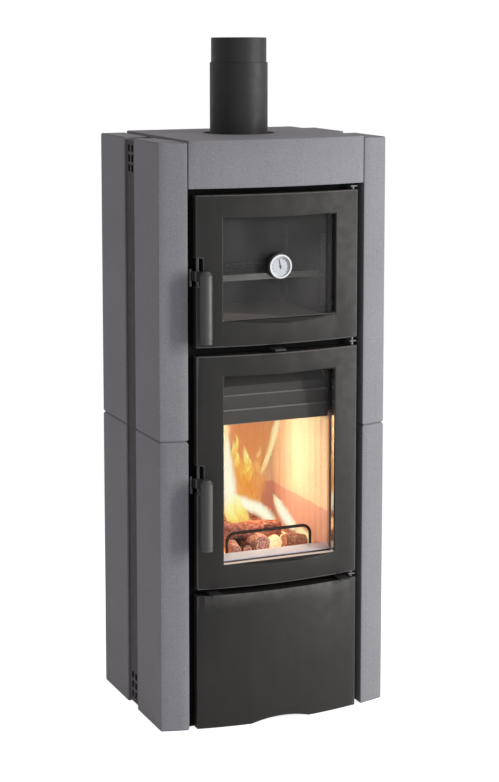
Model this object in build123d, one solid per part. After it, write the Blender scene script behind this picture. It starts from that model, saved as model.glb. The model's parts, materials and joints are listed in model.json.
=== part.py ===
"""Free-standing wood stove with a baking oven, clad in tall cast-stone blocks.

Millimetres, +Z up, -Y is the front. The origin is on the floor under the flue axis.
The whole front (pillars, doors, lintel and top) follows one upright cylinder.
"""
from build123d import *
import os
from math import sqrt

# ---------------------------------------------------------------- driving dimensions
# outer form
width = 638.0               # over the cladding
body_depth = 432.0          # corner line to the back of the cladding
front_bow = 49.0            # how far the front bows out past the corner line
flue_to_rear = 199.0        # flue axis in front of the back of the cladding
mid_joint_z = 762.0         # where the upper blocks stand on the lower ones

# heights of the front, from the floor up
base_door_foot = 2.0
base_door_height = 354.0
lower_door_gap = 16.0       # the air levers come out here
fire_door_height = 609.0
middle_door_gap = 21.0      # the damper's lever comes out here
oven_door_height = 389.0
upper_door_gap = 16.0
lintel_height = 122.0

# cladding blocks
pillar_width = 72.0         # front pillar, seen from the front
pillar_taper = 12.0         # how much narrower it is behind its seam
pillar_depth = 175.0        # corner line to the back of the pillar
pillar_seam_depth = 60.0    # depth over which the pillar keeps its full width
rear_stone_gap = 12.0       # between rear block and side panel
stone_wall = 30.0           # wall left around the hollow back of each block
stone_edge = 2.0            # eased edge
joint_chamfer = 4.0         # V groove at the mid joint
top_seam = 2.0              # between top plate and pillars
top_thickness = 30.0
top_proud = 5.0             # top plate stands above the cladding blocks
top_hole_gap = 18.0         # between top plate and flue pipe
mitre_joint = 0.3           # glue line between lintel and top plate

# vent strips
vent_width = 73.0
vent_recess = 5.0
vent_sheet = 2.0
vent_floor_gap = 8.0
vent_top_drop = 6.0
vent_hole_width = 14.0
vent_hole_height = 18.0
vent_column_pitch = 24.0
vent_row_pitch = 26.0
vent_rows = 3
vent_end_margin = 12.0      # strip's end to the edge of the first hole

# steel body
panel_gap = 7.0             # between side panel and pillar
panel_sheet = 4.0
rear_sheet = 2.0
rear_cover_inset = 7.0      # rear cover in front of the back of the cladding
rear_slot_width = 60.0
rear_slot_height = 6.0
rear_slot_pitch = 16.0
rear_slot_rows = 5
rear_slot_column_pitch = 100.0
rear_slot_margin = 60.0     # cover's end to the middle of the first row
screw_head_radius = 4.5
screw_head_height = 2.5
screw_edge = 10.0           # screw to the cover's side edge
screw_end = 30.0            # and to its top or bottom edge
screw_rows = 4
base_sheet = 4.0
fascia_set_back = 7.0       # front plate behind the corner line
fascia_sheet = 5.0
case_side_gap = 42.0        # warm-air space between side panel and smoke case
case_rear_gap = 16.0
case_top_rise = 3.0         # top of the smoke case above the oven door
case_sheet = 4.0
deck_sheet = 4.0

# doors
door_side_gap = 20.0        # between door and pillar
gasket_sheet = 9.0          # fills the gap between door and front plate
gasket_width = 10.0
gasket_inset = 18.0         # gasket's outer edge inside the door's edge
door_skin = 7.0
door_rim = 30.0
window_rim = 8.0            # raised seat around the window
window_sill_rim = 22.0      # and below it
glass_depth = 15.0          # door's back to the front of the glass
glass_sheet = 4.0
glass_lap = 14.0            # glass beyond the window opening
oven_stile = 70.0           # door's side edge to its window
oven_rail_low = 68.5
oven_rail_high = 59.0
oven_sill_slope = 1.24      # outward fall of the window's lower edge, in front of its corners
fire_stile = 71.0
fire_rail_low = 63.0
fire_rail_high = 54.0
fire_sill_slope = 0.8
head_slope = 0.3            # outward fall of both windows' upper edges
base_skin = 3.0
pull_half_width = 82.0      # arched cut-out in the bottom edge of the base door
pull_height = 12.0
clip_hold = 11.0            # how far a clip reaches over the glass
clip_sheet = 2.5
clip_height = 16.0
clip_boss_radius = 7.0
clip_rim_gap = 3.0          # between boss and rim
clip_inset = 24.0           # corner clips inside the window's height

# hinges on the right, latches on the left
hinge_inset = 10.0          # hinge axis inside the door's side edge
hinge_depth = 10.0          # and in front of its back
hinge_pin_radius = 4.0
hinge_pin_reach = 12.0      # pin length inside a door
hinge_hole_spare = 3.0      # hole deeper than its pin
hinge_leaf = 3.0
hinge_leaf_half_width = 9.0
hinge_slack = 0.4           # under the base door
running_clearance = 0.06
latch_inset = 6.0           # latch pivot inside the door's side edge
latch_depth = 15.0          # and in front of its back
latch_pivot_radius = 4.0
latch_pivot_reach = 10.0
latch_hole_spare = 1.0
striker_out = 17.0          # striker beyond the latch pivot
striker_back = 6.0          # and behind it
striker_radius = 3.0
striker_block = 12.0
striker_clear = 2.0         # between the striker's foot and the arm
grip_in = 8.0               # grip axis inside the latch pivot
grip_out = 40.0             # and in front of it
grip_radius = 16.0
grip_length = 184.0
grip_cone = 10.0
grip_tip_radius = 9.0
grip_groove = 2.0
grip_groove_height = 8.0
arm_width = 12.0
arm_height = 24.0
arm_drop = 4.0              # arm's top edge below the grip's top
arm_hub_radius = 9.0
hook_length = 21.0
hook_root = 8.0
hook_offset = 4.0           # hook's root behind the pivot
hook_sheet = 3.5
hook_clearance = 1.0        # between hook and striker
notch_reach = 12.0          # notch in the door, inside the latch pivot
notch_height = 70.0
notch_above_arm = 33.0
oven_grip_rise = 200.0      # top of the grip above the foot of its door
fire_grip_rise = 296.0

# thermometer in the oven door's glass
gauge_rise = 131.5          # its axis above the window's lower edge
gauge_height = 25.0         # bezel's front in front of the glass
gauge_rim = 3.0             # case beyond the bezel
bezel_width = 4.5
bezel_height = 4.0
gauge_stem_radius = 4.0
gauge_stem_length = 32.0
gauge_nut_radius = 12.0
gauge_nut = 4.0
dial_radius = 26.0
dial_clearance = 0.5
dial_sheet = 1.0
dial_recess = 4.0
needle_gap = 0.8
needle_sheet = 0.6
needle_length = 21.0
needle_tail = 7.0
needle_width = 2.4
needle_tip_width = 0.8
needle_hub_radius = 2.2
needle_hub_proud = 0.4
needle_angle = 12.0         # needle left of upright, in degrees

# firebox
floor_plate_rise = 8.0      # floor plate above the foot of the fire door
floor_plate = 5.0
mouth_margin_low = 5.0      # firebox mouth beyond the window
mouth_margin_high = 18.0
floor_brick = 30.0
side_brick = 28.0
rear_brick = 28.0
brick_front_gap = 3.0       # linings behind the front plate
brick_top_gap = 25.5        # linings below the smoke deck
ash_half_width = 80.0
ash_set_back = 131.0        # ash hole behind the front plate
ash_depth = 130.0
grate_seat = 10.0           # how far the grate overlaps the ash hole
grate_thickness = 12.0
grate_bar = 8.0
grate_slot = 9.0
flute_half_width = 14.0     # shallow upright flutes in the side linings
flute_depth = 2.5
flute_pitch = 36.0
flute_start = 32.4          # first flute behind the lining's front
baffle_drop = 22.0          # baffle plate's underside below the top of the window
baffle_sheet = 25.0
baffle_set_back = 101.0     # baffle plate behind the front plate
baffle_rear_gap = 40.0
baffle_ledge = 12.0
deflector_sheet = 2.0
deflector_set_back = 16.0
deflector_step = 6.0
deflector_drop = 138.5      # lower edge below the top of the window
deflector_fold = 37.0       # height of the first two folds
deflector_last_fold = 23.5
deflector_run = 62.0        # the top leans back over this run and rise
deflector_rise = 53.0
sill_glass_gap = 6.0        # sill strip behind the glass
sill_set_back = 16.0        # its rear edge behind the front plate
sill_rise = 2.0             # its front edge above the foot of the window
sill_slope = 8.0            # its rear edge above its front edge
sill_sheet = 2.0
sill_foot = 5.0
retainer_half_width = 120.0
retainer_set_back = 5.0     # behind the sill strip
retainer_height = 80.0
retainer_corner = 24.0
retainer_radius = 4.0

# oven
oven_side_gap = 17.0        # smoke passage beside the oven box
oven_rear_gap = 62.0        # and behind it
oven_floor_rise = 28.0      # oven floor above the foot of its door
oven_roof_drop = 26.0       # oven roof below the top of its door
oven_mouth_drop = 15.0      # mouth below the roof
oven_sheet = 3.0
oven_slab = 25.0
slab_clearance = 4.0
slab_set_back = 2.0
post_width = 24.0
post_sheet = 3.0
post_rise = 23.0            # posts above the floor slab
post_height = 190.0
post_set_back = 39.0
post_rear_inset = 45.0      # front edge of the rear post to the oven's back
post_hole = 6.0
post_hole_pitch = 14.0
post_hole_margin = 10.5     # end of the post to the middle of the first hole
rail_rise = 80.0            # rail above the foot of the posts
rail_width = 11.0
rail_sheet = 3.0
rail_web = 12.0
rack_wire = 3.0
rack_cross_wire = 2.0
rack_pitch = 22.0
rack_set_back = 12.0        # rack's front edge behind the posts' front edges
rack_rear_gap = 23.0
rack_side_gap = 3.0         # between rack and rail web
rack_guard = 16.0
rack_guard_sheet = 2.0
soft_gap = 0.3              # between round faces on different bodies

# smoke deck between firebox and oven, with its sliding damper
smoke_deck_rise = 4.5       # above the top of the fire door
damper_sheet = 4.0
damper_x = -14.0
damper_bar = 20.0
damper_half_width = 90.0
damper_oven_gap = 7.0       # damper's hole behind the oven box
damper_case_gap = 10.0      # and in front of the case's back
damper_lap = 8.0
side_flue_width = 36.0
side_flue_land = 4.0
side_flue_set_back = 71.0
side_flue_length = 210.0
tab_width = 30.0
tab_length = 40.0           # how long the tab is wider than its bar
tab_proud = 24.0            # tab in front of the door's face
slot_clearance = 2.0

# air slides under the firebox floor
air_lever_inset = 45.0      # lever inside the door's side edge
air_lever_rise = 4.0        # above the base door
air_lever_sheet = 4.0
air_slide_length = 90.0
air_slide_depth = 20.0
air_slide_sheet = 3.0
air_slide_gap = 2.0         # behind the front plate
air_shank = 16.0
air_travel = 50.0
air_hole_radius = 6.0
air_hole_pitch = 30.0

# ash pan
pan_half_width = 115.0
pan_set_back = 11.0
pan_length = 300.0
pan_height = 53.0
pan_drop = 35.0             # pan's rim below the floor plate
pan_sheet = 2.0
pan_lip = 10.0
pan_shelf = 8.0
pan_rail_sheet = 3.0
pan_side_play = 1.0
base_mouth_inset = 32.0     # mouth inside the base door's side edges
base_mouth_low = 18.0
base_mouth_high = 7.0

# flue
pipe_radius = 77.0
pipe_wall = 2.0
pipe_rise = 186.0           # the pipe's shoulder above the top plate
spigot_length = 65.0
spigot_step = 3.5
collar_slack = 0.3
collar_wall = 3.0
collar_height = 52.0
collar_flange = 4.0
collar_flange_gap = 3.0     # between the collar's flange and the top plate's hole

through = 1.0               # how far a cutter runs past the face that it opens

# ---------------------------------------------------------------- worked out from them
# heights
base_door_z = (base_door_foot, base_door_foot + base_door_height)
fire_door_low = base_door_z[1] + lower_door_gap
fire_door_z = (fire_door_low, fire_door_low + fire_door_height)
oven_door_low = fire_door_z[1] + middle_door_gap
oven_door_z = (oven_door_low, oven_door_low + oven_door_height)
lintel_bottom_z = oven_door_z[1] + upper_door_gap
top_z = lintel_bottom_z + lintel_height
stone_height = top_z - top_proud
panel_top_z = top_z - top_thickness
fire_window_z = (fire_door_z[0] + fire_rail_low, fire_door_z[1] - fire_rail_high)
oven_window_z = (oven_door_z[0] + oven_rail_low, oven_door_z[1] - oven_rail_high)
fire_mouth_z = (fire_window_z[0] - mouth_margin_low, fire_window_z[1] + mouth_margin_high)
base_mouth_z = (base_door_z[0] + base_mouth_low, base_door_z[1] - base_mouth_high)
floor_plate_z = fire_door_z[0] + floor_plate_rise
floor_z = floor_plate_z + floor_plate
floor_brick_z = floor_z + floor_brick
smoke_deck_z = fire_door_z[1] + smoke_deck_rise
damper_z = smoke_deck_z + deck_sheet
brick_top_z = smoke_deck_z - brick_top_gap
baffle_z = fire_window_z[1] - baffle_drop
oven_floor_z = oven_door_z[0] + oven_floor_rise
oven_roof_z = oven_door_z[1] - oven_roof_drop
oven_mouth_z = (oven_floor_z + oven_slab, oven_roof_z - oven_mouth_drop)
post_low_z = oven_mouth_z[0] + post_rise
post_z = (post_low_z, post_low_z + post_height)
rail_z = post_low_z + rail_rise
air_lever_z = base_door_z[1] + air_lever_rise
pan_z = (floor_plate_z - pan_drop - pan_height, floor_plate_z - pan_drop)
case_top_z = oven_door_z[1] + case_top_rise
oven_grip_top_z = oven_door_z[0] + oven_grip_rise
fire_grip_top_z = fire_door_z[0] + fire_grip_rise
gauge_z = oven_window_z[0] + gauge_rise
pipe_step_z = top_z + pipe_rise
pipe_top_z = pipe_step_z + spigot_length

# widths, from the cladding inwards
half_width = width / 2
seam_x = half_width - pillar_width
pillar_rear_x = seam_x + pillar_taper
panel_half_width = seam_x - panel_gap
panel_inner_x = panel_half_width - panel_sheet
rear_stone_x = panel_half_width + rear_stone_gap
case_half_width = panel_inner_x - case_side_gap
case_inner_x = case_half_width - case_sheet
mouth_half_width = case_inner_x - side_brick
oven_half_width = case_inner_x - oven_side_gap - oven_sheet
rack_half_width = oven_half_width - post_sheet - rail_sheet - rack_side_gap
door_half_width = seam_x - door_side_gap
oven_window_half = door_half_width - oven_stile
fire_window_half = door_half_width - fire_stile
base_mouth_half_width = door_half_width - base_mouth_inset
hinge_x = door_half_width - hinge_inset
latch_x = latch_inset - door_half_width
grip_x = latch_x + grip_in
striker_x = latch_x - striker_out
clip_boss_x = door_half_width - door_rim - clip_rim_gap - clip_boss_radius
air_lever_x = door_half_width - air_lever_inset
ash_x = (-ash_half_width, ash_half_width)

# depths, from the corner line and the back of the cladding inwards
rear_y = flue_to_rear
corner_y = rear_y - body_depth
arc_radius = (half_width**2 + front_bow**2) / (2 * front_bow)
arc_centre_y = corner_y - front_bow + arc_radius
pillar_rear_y = corner_y + pillar_depth
rear_stone_front_y = pillar_rear_y + vent_width
fascia_face_y = corner_y + fascia_set_back
fascia_back_y = fascia_face_y + fascia_sheet
door_back_y = fascia_face_y - gasket_sheet
glass_front_y = door_back_y - glass_depth
glass_back_y = glass_front_y + glass_sheet
hinge_y = door_back_y - hinge_depth
latch_y = door_back_y - latch_depth
grip_y = latch_y - grip_out
striker_y = latch_y + striker_back
hook_y = striker_y + striker_radius + hook_clearance
rear_cover_y = rear_y - rear_cover_inset - rear_sheet
case_rear_y = rear_cover_y - case_rear_gap
case_inner_y = case_rear_y - case_sheet
rear_brick_face_y = case_inner_y - rear_brick
brick_front_y = fascia_back_y + brick_front_gap
sill_rear_y = fascia_back_y + sill_set_back
ash_front_y = fascia_back_y + ash_set_back
ash_y = (ash_front_y, ash_front_y + ash_depth)
oven_rear_y = case_inner_y - oven_rear_gap - oven_sheet
post_front_y = fascia_back_y + post_set_back
post_rear_y = oven_rear_y - post_rear_inset
rack_front_y = post_front_y + rack_set_back
rack_rear_y = oven_rear_y - rack_rear_gap
side_flue_y = fascia_back_y + side_flue_set_back
slide_y = fascia_back_y + air_slide_gap + air_slide_depth / 2
pan_front_y = fascia_back_y + pan_set_back
pan_y = (pan_front_y, pan_front_y + pan_length)

# radii
spigot_radius = pipe_radius - spigot_step
top_hole_radius = pipe_radius + top_hole_gap
collar_radius = pipe_radius - pipe_wall - collar_slack
collar_bore = collar_radius - collar_wall
collar_flange_radius = top_hole_radius - collar_flange_gap
bezel_radius = dial_radius + bezel_width

os.makedirs("parts", exist_ok=True)


def save(name, *solids):
    """Write one node: one solid, or a group of separate ones."""
    shape = solids[0] if len(solids) == 1 else Compound(children=list(solids))
    export_step(shape, f"parts/{name}.step")


def block(x0, x1, y0, y1, z0, z1):
    """Box between two corners."""
    size = (x1 - x0, y1 - y0, z1 - z0)
    middle = ((x0 + x1) / 2, (y0 + y1) / 2, (z0 + z1) / 2)
    return Pos(*middle) * Box(*size)


def rod(start, end, radius):
    """Round bar between two points."""
    path = Vector(*end) - Vector(*start)
    plane = Plane(origin=start, z_dir=path)
    return extrude(plane * Circle(radius), path.length, dir=path)


def mirrored(shape):
    """The same piece on the other side of the stove."""
    return mirror(shape, about=Plane.YZ)


def front_y(x, inset=0.0):
    """Y of the bowed front, or of a face set back from it."""
    return arc_centre_y - sqrt((arc_radius - inset) ** 2 - x**2)


def bowed(x0, x1, y_back, z0, z1, inset=0.0):
    """Upright piece with a bowed front and a flat back."""
    middle = (x0 + x1) / 2
    corners = [(x, front_y(x, inset)) for x in (x0, middle, x1)]
    front = ThreePointArc(*corners)
    rest = Polyline(corners[2], (x1, y_back), (x0, y_back), corners[0])
    face = Pos(0, 0, z0) * make_face([front, rest])
    return extrude(face, z1 - z0, dir=(0, 0, 1))


def upright(points, z0, z1):
    """Upright piece with a straight-sided plan."""
    face = Pos(0, 0, z0) * make_face(Polyline(*points, points[0]))
    return extrude(face, z1 - z0, dir=(0, 0, 1))


def along_x(points, x0, x1):
    """Piece with a constant (y, z) outline between two x values."""
    outline = Polyline(*[(x0, y, z) for y, z in points], (x0, *points[0]))
    return extrude(make_face(outline), x1 - x0, dir=(1, 0, 0))


def frame(half_width_out, z_out, half_width_in, z_in, y0, y1):
    """Flat rectangular ring."""
    outer = block(-half_width_out, half_width_out, y0, y1, *z_out)
    return outer - block(-half_width_in, half_width_in, y0 - through, y1 + through, *z_in)


# ---------------------------------------------------------------- cladding
def eased(stone, z_joint):
    """Ease every edge, and cut the wider groove where two blocks meet."""
    near = stone_edge / 100
    at_joint = [e for e in stone.edges() if abs(e.center().Z - z_joint) < near]
    grooved = chamfer(at_joint, joint_chamfer)
    sharp = [
        e for e in grooved.edges()
        if e.bounding_box().min.Z > z_joint + joint_chamfer + near
        or e.bounding_box().max.Z < z_joint - joint_chamfer - near
    ]
    return chamfer(sharp, stone_edge)


def hollowed(stone, inner_x, y0, y1, z0, z1):
    """Take out the back of a block, leaving its wall on the other five sides."""
    wall = stone_wall
    return stone - block(
        inner_x - through, half_width - wall, y0 + wall, y1 - wall, z0 + wall, z1 - wall
    )


def pillar(z0, z1):
    """Left-hand front block, hollow at the back."""
    seam_end_y = corner_y + pillar_seam_depth
    past_y, past_x = pillar_rear_y + through, seam_x - through
    stone = bowed(seam_x, half_width, pillar_rear_y, z0, z1)
    taper = [
        (seam_x, seam_end_y), (pillar_rear_x, pillar_rear_y), (pillar_rear_x, past_y),
        (past_x, past_y), (past_x, seam_end_y),
    ]
    stone = eased(stone - upright(taper, z0 - through, z1 + through), mid_joint_z)
    return mirrored(hollowed(stone, seam_x, corner_y, pillar_rear_y, z0, z1))


def rear_stone(z0, z1):
    """Left-hand rear block, hollow at the back."""
    stone = block(rear_stone_x, half_width, rear_stone_front_y, rear_y, z0, z1)
    stone = eased(stone, mid_joint_z)
    return mirrored(hollowed(stone, rear_stone_x, rear_stone_front_y, rear_y, z0, z1))


for level, z0, z1 in (("lower", 0.0, mid_joint_z), ("upper", mid_joint_z, stone_height)):
    for name, stone in (("front_pillar", pillar(z0, z1)), ("rear_stone", rear_stone(z0, z1))):
        save(f"{name}_left_{level}", stone)
        save(f"{name}_right_{level}", mirrored(stone))


def mitre_cone(radius):
    """Cone whose slope is the mitre between lintel and top plate."""
    middle_z = panel_top_z + top_thickness / 2
    return Pos(0, arc_centre_y, middle_z) * Cone(radius - top_thickness, radius, top_thickness)


top_half = seam_x - top_seam
top_plate = bowed(-top_half, top_half, rear_y, panel_top_z, top_z) & mitre_cone(arc_radius)
top_plate -= Pos(0, 0, panel_top_z) * Cylinder(top_hole_radius, 3 * top_thickness)
save("top_plate", top_plate)

lintel_back_half = top_half + through
lintel_back = bowed(-lintel_back_half, lintel_back_half, rear_y, 0, top_z, inset=top_thickness)
lintel = bowed(-top_half, top_half, corner_y + front_bow, lintel_bottom_z, top_z)
lintel -= mitre_cone(arc_radius + mitre_joint)
lintel -= lintel_back & block(-width, width, -body_depth, rear_y, 0, panel_top_z)
lintel -= block(-width, width, fascia_face_y, rear_y, 0, panel_top_z)
save("front_lintel", lintel)


def vent_strip():
    """Left-hand perforated steel channel between the front and rear blocks."""
    face_x = half_width - vent_recess
    inner_x = panel_half_width - through
    z0, z1 = vent_floor_gap, stone_height - vent_top_drop
    y0, y1 = pillar_rear_y, rear_stone_front_y
    strip = block(panel_half_width, face_x, y0, y1, z0, z1)
    strip -= block(
        inner_x, face_x - vent_sheet, y0 + vent_sheet, y1 - vent_sheet,
        z0 - through, z1 - vent_sheet,
    )
    strip -= block(inner_x, seam_x, y0 - through, y1 + through, panel_top_z, top_z)
    middle_y = (y0 + y1) / 2
    reach = vent_end_margin + vent_hole_height / 2
    for row in range(vent_rows):
        for z in (z0 + reach + row * vent_row_pitch, z1 - reach - row * vent_row_pitch):
            for side in (-1, 1):
                y = middle_y + side * vent_column_pitch / 2
                strip -= Pos(face_x, y, z) * Box(4 * vent_sheet, vent_hole_width, vent_hole_height)
    return mirrored(strip)


save("vent_strip_left", vent_strip())
save("vent_strip_right", mirrored(vent_strip()))

# ---------------------------------------------------------------- steel body
base = block(-panel_half_width, panel_half_width, fascia_face_y, rear_cover_y, 0, base_sheet)
save("base_plate", base)

side_panel = block(
    -panel_half_width, -panel_inner_x, fascia_back_y, rear_cover_y, base_sheet, panel_top_z
)
save("side_panel_left", side_panel)
save("side_panel_right", mirrored(side_panel))


def rear_cover():
    """Back sheet with rows of slots at its foot and its head."""
    cover = block(
        -panel_half_width, panel_half_width,
        rear_cover_y, rear_cover_y + rear_sheet, 0, panel_top_z,
    )
    columns = int((2 * panel_half_width - rear_slot_width) // rear_slot_column_pitch)
    for row in range(rear_slot_rows):
        rise = rear_slot_margin + row * rear_slot_pitch
        for z in (rise, panel_top_z - rise):
            for column in range(columns):
                x = (column - (columns - 1) / 2) * rear_slot_column_pitch
                cutter = Box(rear_slot_width, 4 * rear_sheet, rear_slot_height)
                cover -= Pos(x, rear_cover_y, z) * cutter
    return cover


save("rear_cover", rear_cover())

screw_face_y = rear_cover_y + rear_sheet
screw_x = panel_half_width - screw_edge
screw_pitch = (panel_top_z - 2 * screw_end) / (screw_rows - 1)
screw_heads = []
for row in range(screw_rows):
    z = screw_end + row * screw_pitch
    for x in (-screw_x, screw_x):
        end_y = screw_face_y + screw_head_height
        screw_heads.append(rod((x, screw_face_y, z), (x, end_y, z), screw_head_radius))
save("rear_cover_screws", *screw_heads)


def fascia_cut(x0, x1, z0, z1):
    """Cutter for an opening in the front plate."""
    return block(x0, x1, fascia_face_y - through, fascia_back_y + through, z0, z1)


def lever_slot(x0, x1, z, sheet):
    """Cutter for a lever's slot in the front plate."""
    return fascia_cut(x0 - slot_clearance, x1 + slot_clearance, z, z + sheet + slot_clearance)


fascia = block(
    -panel_half_width, panel_half_width, fascia_face_y, fascia_back_y, base_sheet, panel_top_z
)
for half_opening, z_range in (
    (base_mouth_half_width, base_mouth_z),
    (mouth_half_width, fire_mouth_z),
    (oven_half_width, oven_mouth_z),
):
    fascia -= fascia_cut(-half_opening, half_opening, *z_range)
damper_edges = (damper_x - damper_bar / 2, damper_x + damper_bar / 2)
fascia -= lever_slot(*damper_edges, damper_z, damper_sheet)
air_slot = lever_slot(
    -air_lever_x - air_shank / 2, -air_lever_x + air_shank / 2 + air_travel,
    air_lever_z, air_lever_sheet,
)
fascia -= air_slot
fascia -= mirrored(air_slot)
save("front_fascia", fascia)

smoke_case = block(
    -case_half_width, case_half_width, fascia_back_y, case_rear_y, floor_z, case_top_z
)
smoke_case -= block(
    -case_inner_x, case_inner_x, fascia_back_y - through, case_inner_y,
    floor_z - through, case_top_z + through,
)
save("smoke_case", smoke_case)

collar_z = case_top_z + deck_sheet
top_deck = block(
    -panel_inner_x, panel_inner_x, fascia_back_y, rear_cover_y, case_top_z, collar_z
)
top_deck -= Pos(0, 0, case_top_z) * Cylinder(collar_bore, 4 * deck_sheet)
save("top_deck", top_deck)


def air_holes(x, z, sheet):
    """Cutters for one row of air holes."""
    hole = Cylinder(air_hole_radius, 4 * sheet)
    return [Pos(x + step * air_hole_pitch, slide_y, z) * hole for step in (-1, 0, 1)]


def firebox_floor():
    """Floor plate with the ash hole, the air holes and the rails that carry the ash pan."""
    plate = block(
        -panel_inner_x, panel_inner_x, fascia_back_y, rear_cover_y, floor_plate_z, floor_z
    )
    plate -= block(*ash_x, *ash_y, floor_plate_z - through, floor_z + through)
    for x in (-air_lever_x, air_lever_x):
        plate -= air_holes(x, floor_plate_z, floor_plate)
    web_x = pan_half_width + pan_lip
    outer_x = web_x + pan_rail_sheet
    rail_front_y = slide_y + air_slide_depth / 2 + slot_clearance
    shelf_z = pan_z[1] - pan_sheet - pan_rail_sheet
    web = block(web_x, outer_x, rail_front_y, pan_y[1], shelf_z, floor_plate_z)
    shelf = block(
        web_x - pan_shelf, outer_x, rail_front_y, pan_y[1], shelf_z, shelf_z + pan_rail_sheet
    )
    rail = web + shelf
    return plate + rail + mirrored(rail)


save("firebox_floor", firebox_floor())

smoke_deck = block(
    -case_inner_x, case_inner_x, fascia_back_y, case_inner_y, smoke_deck_z, damper_z
)
damper_hole = (
    -damper_half_width, damper_half_width,
    oven_rear_y + oven_sheet + damper_oven_gap, case_inner_y - damper_case_gap,
)
smoke_deck -= block(*damper_hole, smoke_deck_z - through, damper_z + through)
side_flue = block(
    case_inner_x - side_flue_land - side_flue_width, case_inner_x - side_flue_land,
    side_flue_y, side_flue_y + side_flue_length,
    smoke_deck_z - through, damper_z + through,
)
smoke_deck -= side_flue
smoke_deck -= mirrored(side_flue)
save("smoke_deck", smoke_deck)

# ---------------------------------------------------------------- firebox lining
def side_lining():
    """Right-hand lining: a fluted board with a ledge for the baffle plate."""
    board = block(
        mouth_half_width, case_inner_x, brick_front_y, rear_brick_face_y, floor_z, brick_top_z
    )
    flute_radius = (flute_half_width**2 + flute_depth**2) / (2 * flute_depth)
    flute_axis_x = mouth_half_width + flute_depth - flute_radius
    last_flute = rear_brick_face_y - brick_front_y - flute_start - flute_half_width
    for flute in range(int(last_flute // flute_pitch) + 1):
        y = brick_front_y + flute_start + flute * flute_pitch
        cutter = Cylinder(flute_radius, brick_top_z - floor_z + 2 * through)
        board -= Pos(flute_axis_x, y, (floor_z + brick_top_z) / 2) * cutter
    return board - block(
        mouth_half_width - through, mouth_half_width + baffle_ledge,
        fascia_back_y + baffle_set_back, rear_brick_face_y + through,
        baffle_z, baffle_z + baffle_sheet,
    )


save("side_lining_right", side_lining())
save("side_lining_left", mirrored(side_lining()))

rear_lining = block(
    -case_inner_x, case_inner_x, rear_brick_face_y, case_inner_y, floor_z, brick_top_z
)
save("rear_lining", rear_lining)

grate_x = (ash_x[0] - grate_seat, ash_x[1] + grate_seat)
grate_y = (ash_y[0] - grate_seat, ash_y[1] + grate_seat)
brick_z = (floor_z, floor_brick_z)
floor_bricks = [
    block(-mouth_half_width, grate_x[0], sill_rear_y, rear_brick_face_y, *brick_z),
    block(grate_x[1], mouth_half_width, sill_rear_y, rear_brick_face_y, *brick_z),
    block(*grate_x, sill_rear_y, grate_y[0], *brick_z),
    block(*grate_x, grate_y[1], rear_brick_face_y, *brick_z),
]
save("floor_bricks", *floor_bricks)

grate = block(*grate_x, *grate_y, floor_z, floor_z + grate_thickness)
slot_pitch = grate_bar + grate_slot
slots = int((ash_x[1] - ash_x[0]) // slot_pitch)
for i in range(slots):
    x = (i - (slots - 1) / 2) * slot_pitch
    grate -= block(
        x - grate_slot / 2, x + grate_slot / 2, *ash_y,
        floor_z - through, floor_z + grate_thickness + through,
    )
save("grate", grate)

baffle_half = mouth_half_width + baffle_ledge
baffle = block(
    -baffle_half, baffle_half, fascia_back_y + baffle_set_back,
    rear_brick_face_y - baffle_rear_gap, baffle_z, baffle_z + baffle_sheet,
)
save("baffle_plate", baffle)


def air_deflector():
    """Sheet at the top of the firebox mouth, stepped back twice, then leaning back."""
    thick = deflector_sheet
    front = fascia_back_y + deflector_set_back
    low = fire_window_z[1] - deflector_drop
    first, second = low + deflector_fold, low + 2 * deflector_fold
    high = second + deflector_last_fold
    y0, y1, y2 = (front - deflector_step * i for i in (2, 1, 0))
    end_y, end_z = front + deflector_run, high + deflector_rise
    outline = [
        (y0, low), (y0, first), (y1, first), (y1, second), (y2, second), (y2, high),
        (end_y, end_z), (end_y + thick, end_z - thick), (y2 + thick, high - thick),
        (y2 + thick, second - thick), (y1 + thick, second - thick),
        (y1 + thick, first - thick), (y0 + thick, first - thick), (y0 + thick, low),
    ]
    return along_x(outline, -mouth_half_width, mouth_half_width)


save("air_deflector", air_deflector())


def sill_strip():
    """Strip that slopes up from the window's lower edge and turns down before the bricks."""
    front_y, front_z = glass_back_y + sill_glass_gap, fire_window_z[0] + sill_rise
    rear_z = front_z + sill_slope
    inner_y = sill_rear_y - sill_sheet
    fall = sill_sheet * sill_slope / (sill_rear_y - front_y)
    foot_z = floor_z + sill_foot
    outline = [
        (front_y, front_z), (sill_rear_y, rear_z), (sill_rear_y, foot_z), (inner_y, foot_z),
        (inner_y, rear_z - sill_sheet - fall), (front_y, front_z - sill_sheet),
    ]
    return along_x(outline, -mouth_half_width, mouth_half_width)


save("sill_strip", sill_strip())

retainer_y = sill_rear_y + retainer_set_back
retainer_top_z = floor_brick_z + retainer_height
retainer_path = FilletPolyline(
    (-retainer_half_width, retainer_y, floor_brick_z),
    (-retainer_half_width, retainer_y, retainer_top_z),
    (retainer_half_width, retainer_y, retainer_top_z),
    (retainer_half_width, retainer_y, floor_brick_z),
    radius=retainer_corner,
)
retainer_foot = Plane(origin=retainer_path @ 0, z_dir=retainer_path % 0)
save("log_retainer", sweep(retainer_foot * Circle(retainer_radius), path=retainer_path))

# ---------------------------------------------------------------- oven
oven_box = block(
    -oven_half_width - oven_sheet, oven_half_width + oven_sheet,
    fascia_back_y, oven_rear_y + oven_sheet, oven_floor_z - oven_sheet, oven_roof_z + oven_sheet,
)
oven_box -= block(
    -oven_half_width, oven_half_width, fascia_back_y - through, oven_rear_y,
    oven_floor_z, oven_roof_z,
)
save("oven_box", oven_box)

slab_half = oven_half_width - slab_clearance
oven_floor_slab = block(
    -slab_half, slab_half, fascia_back_y + slab_set_back, oven_rear_y - slab_clearance,
    oven_floor_z, oven_mouth_z[0],
)
save("oven_floor_slab", oven_floor_slab)


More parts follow.
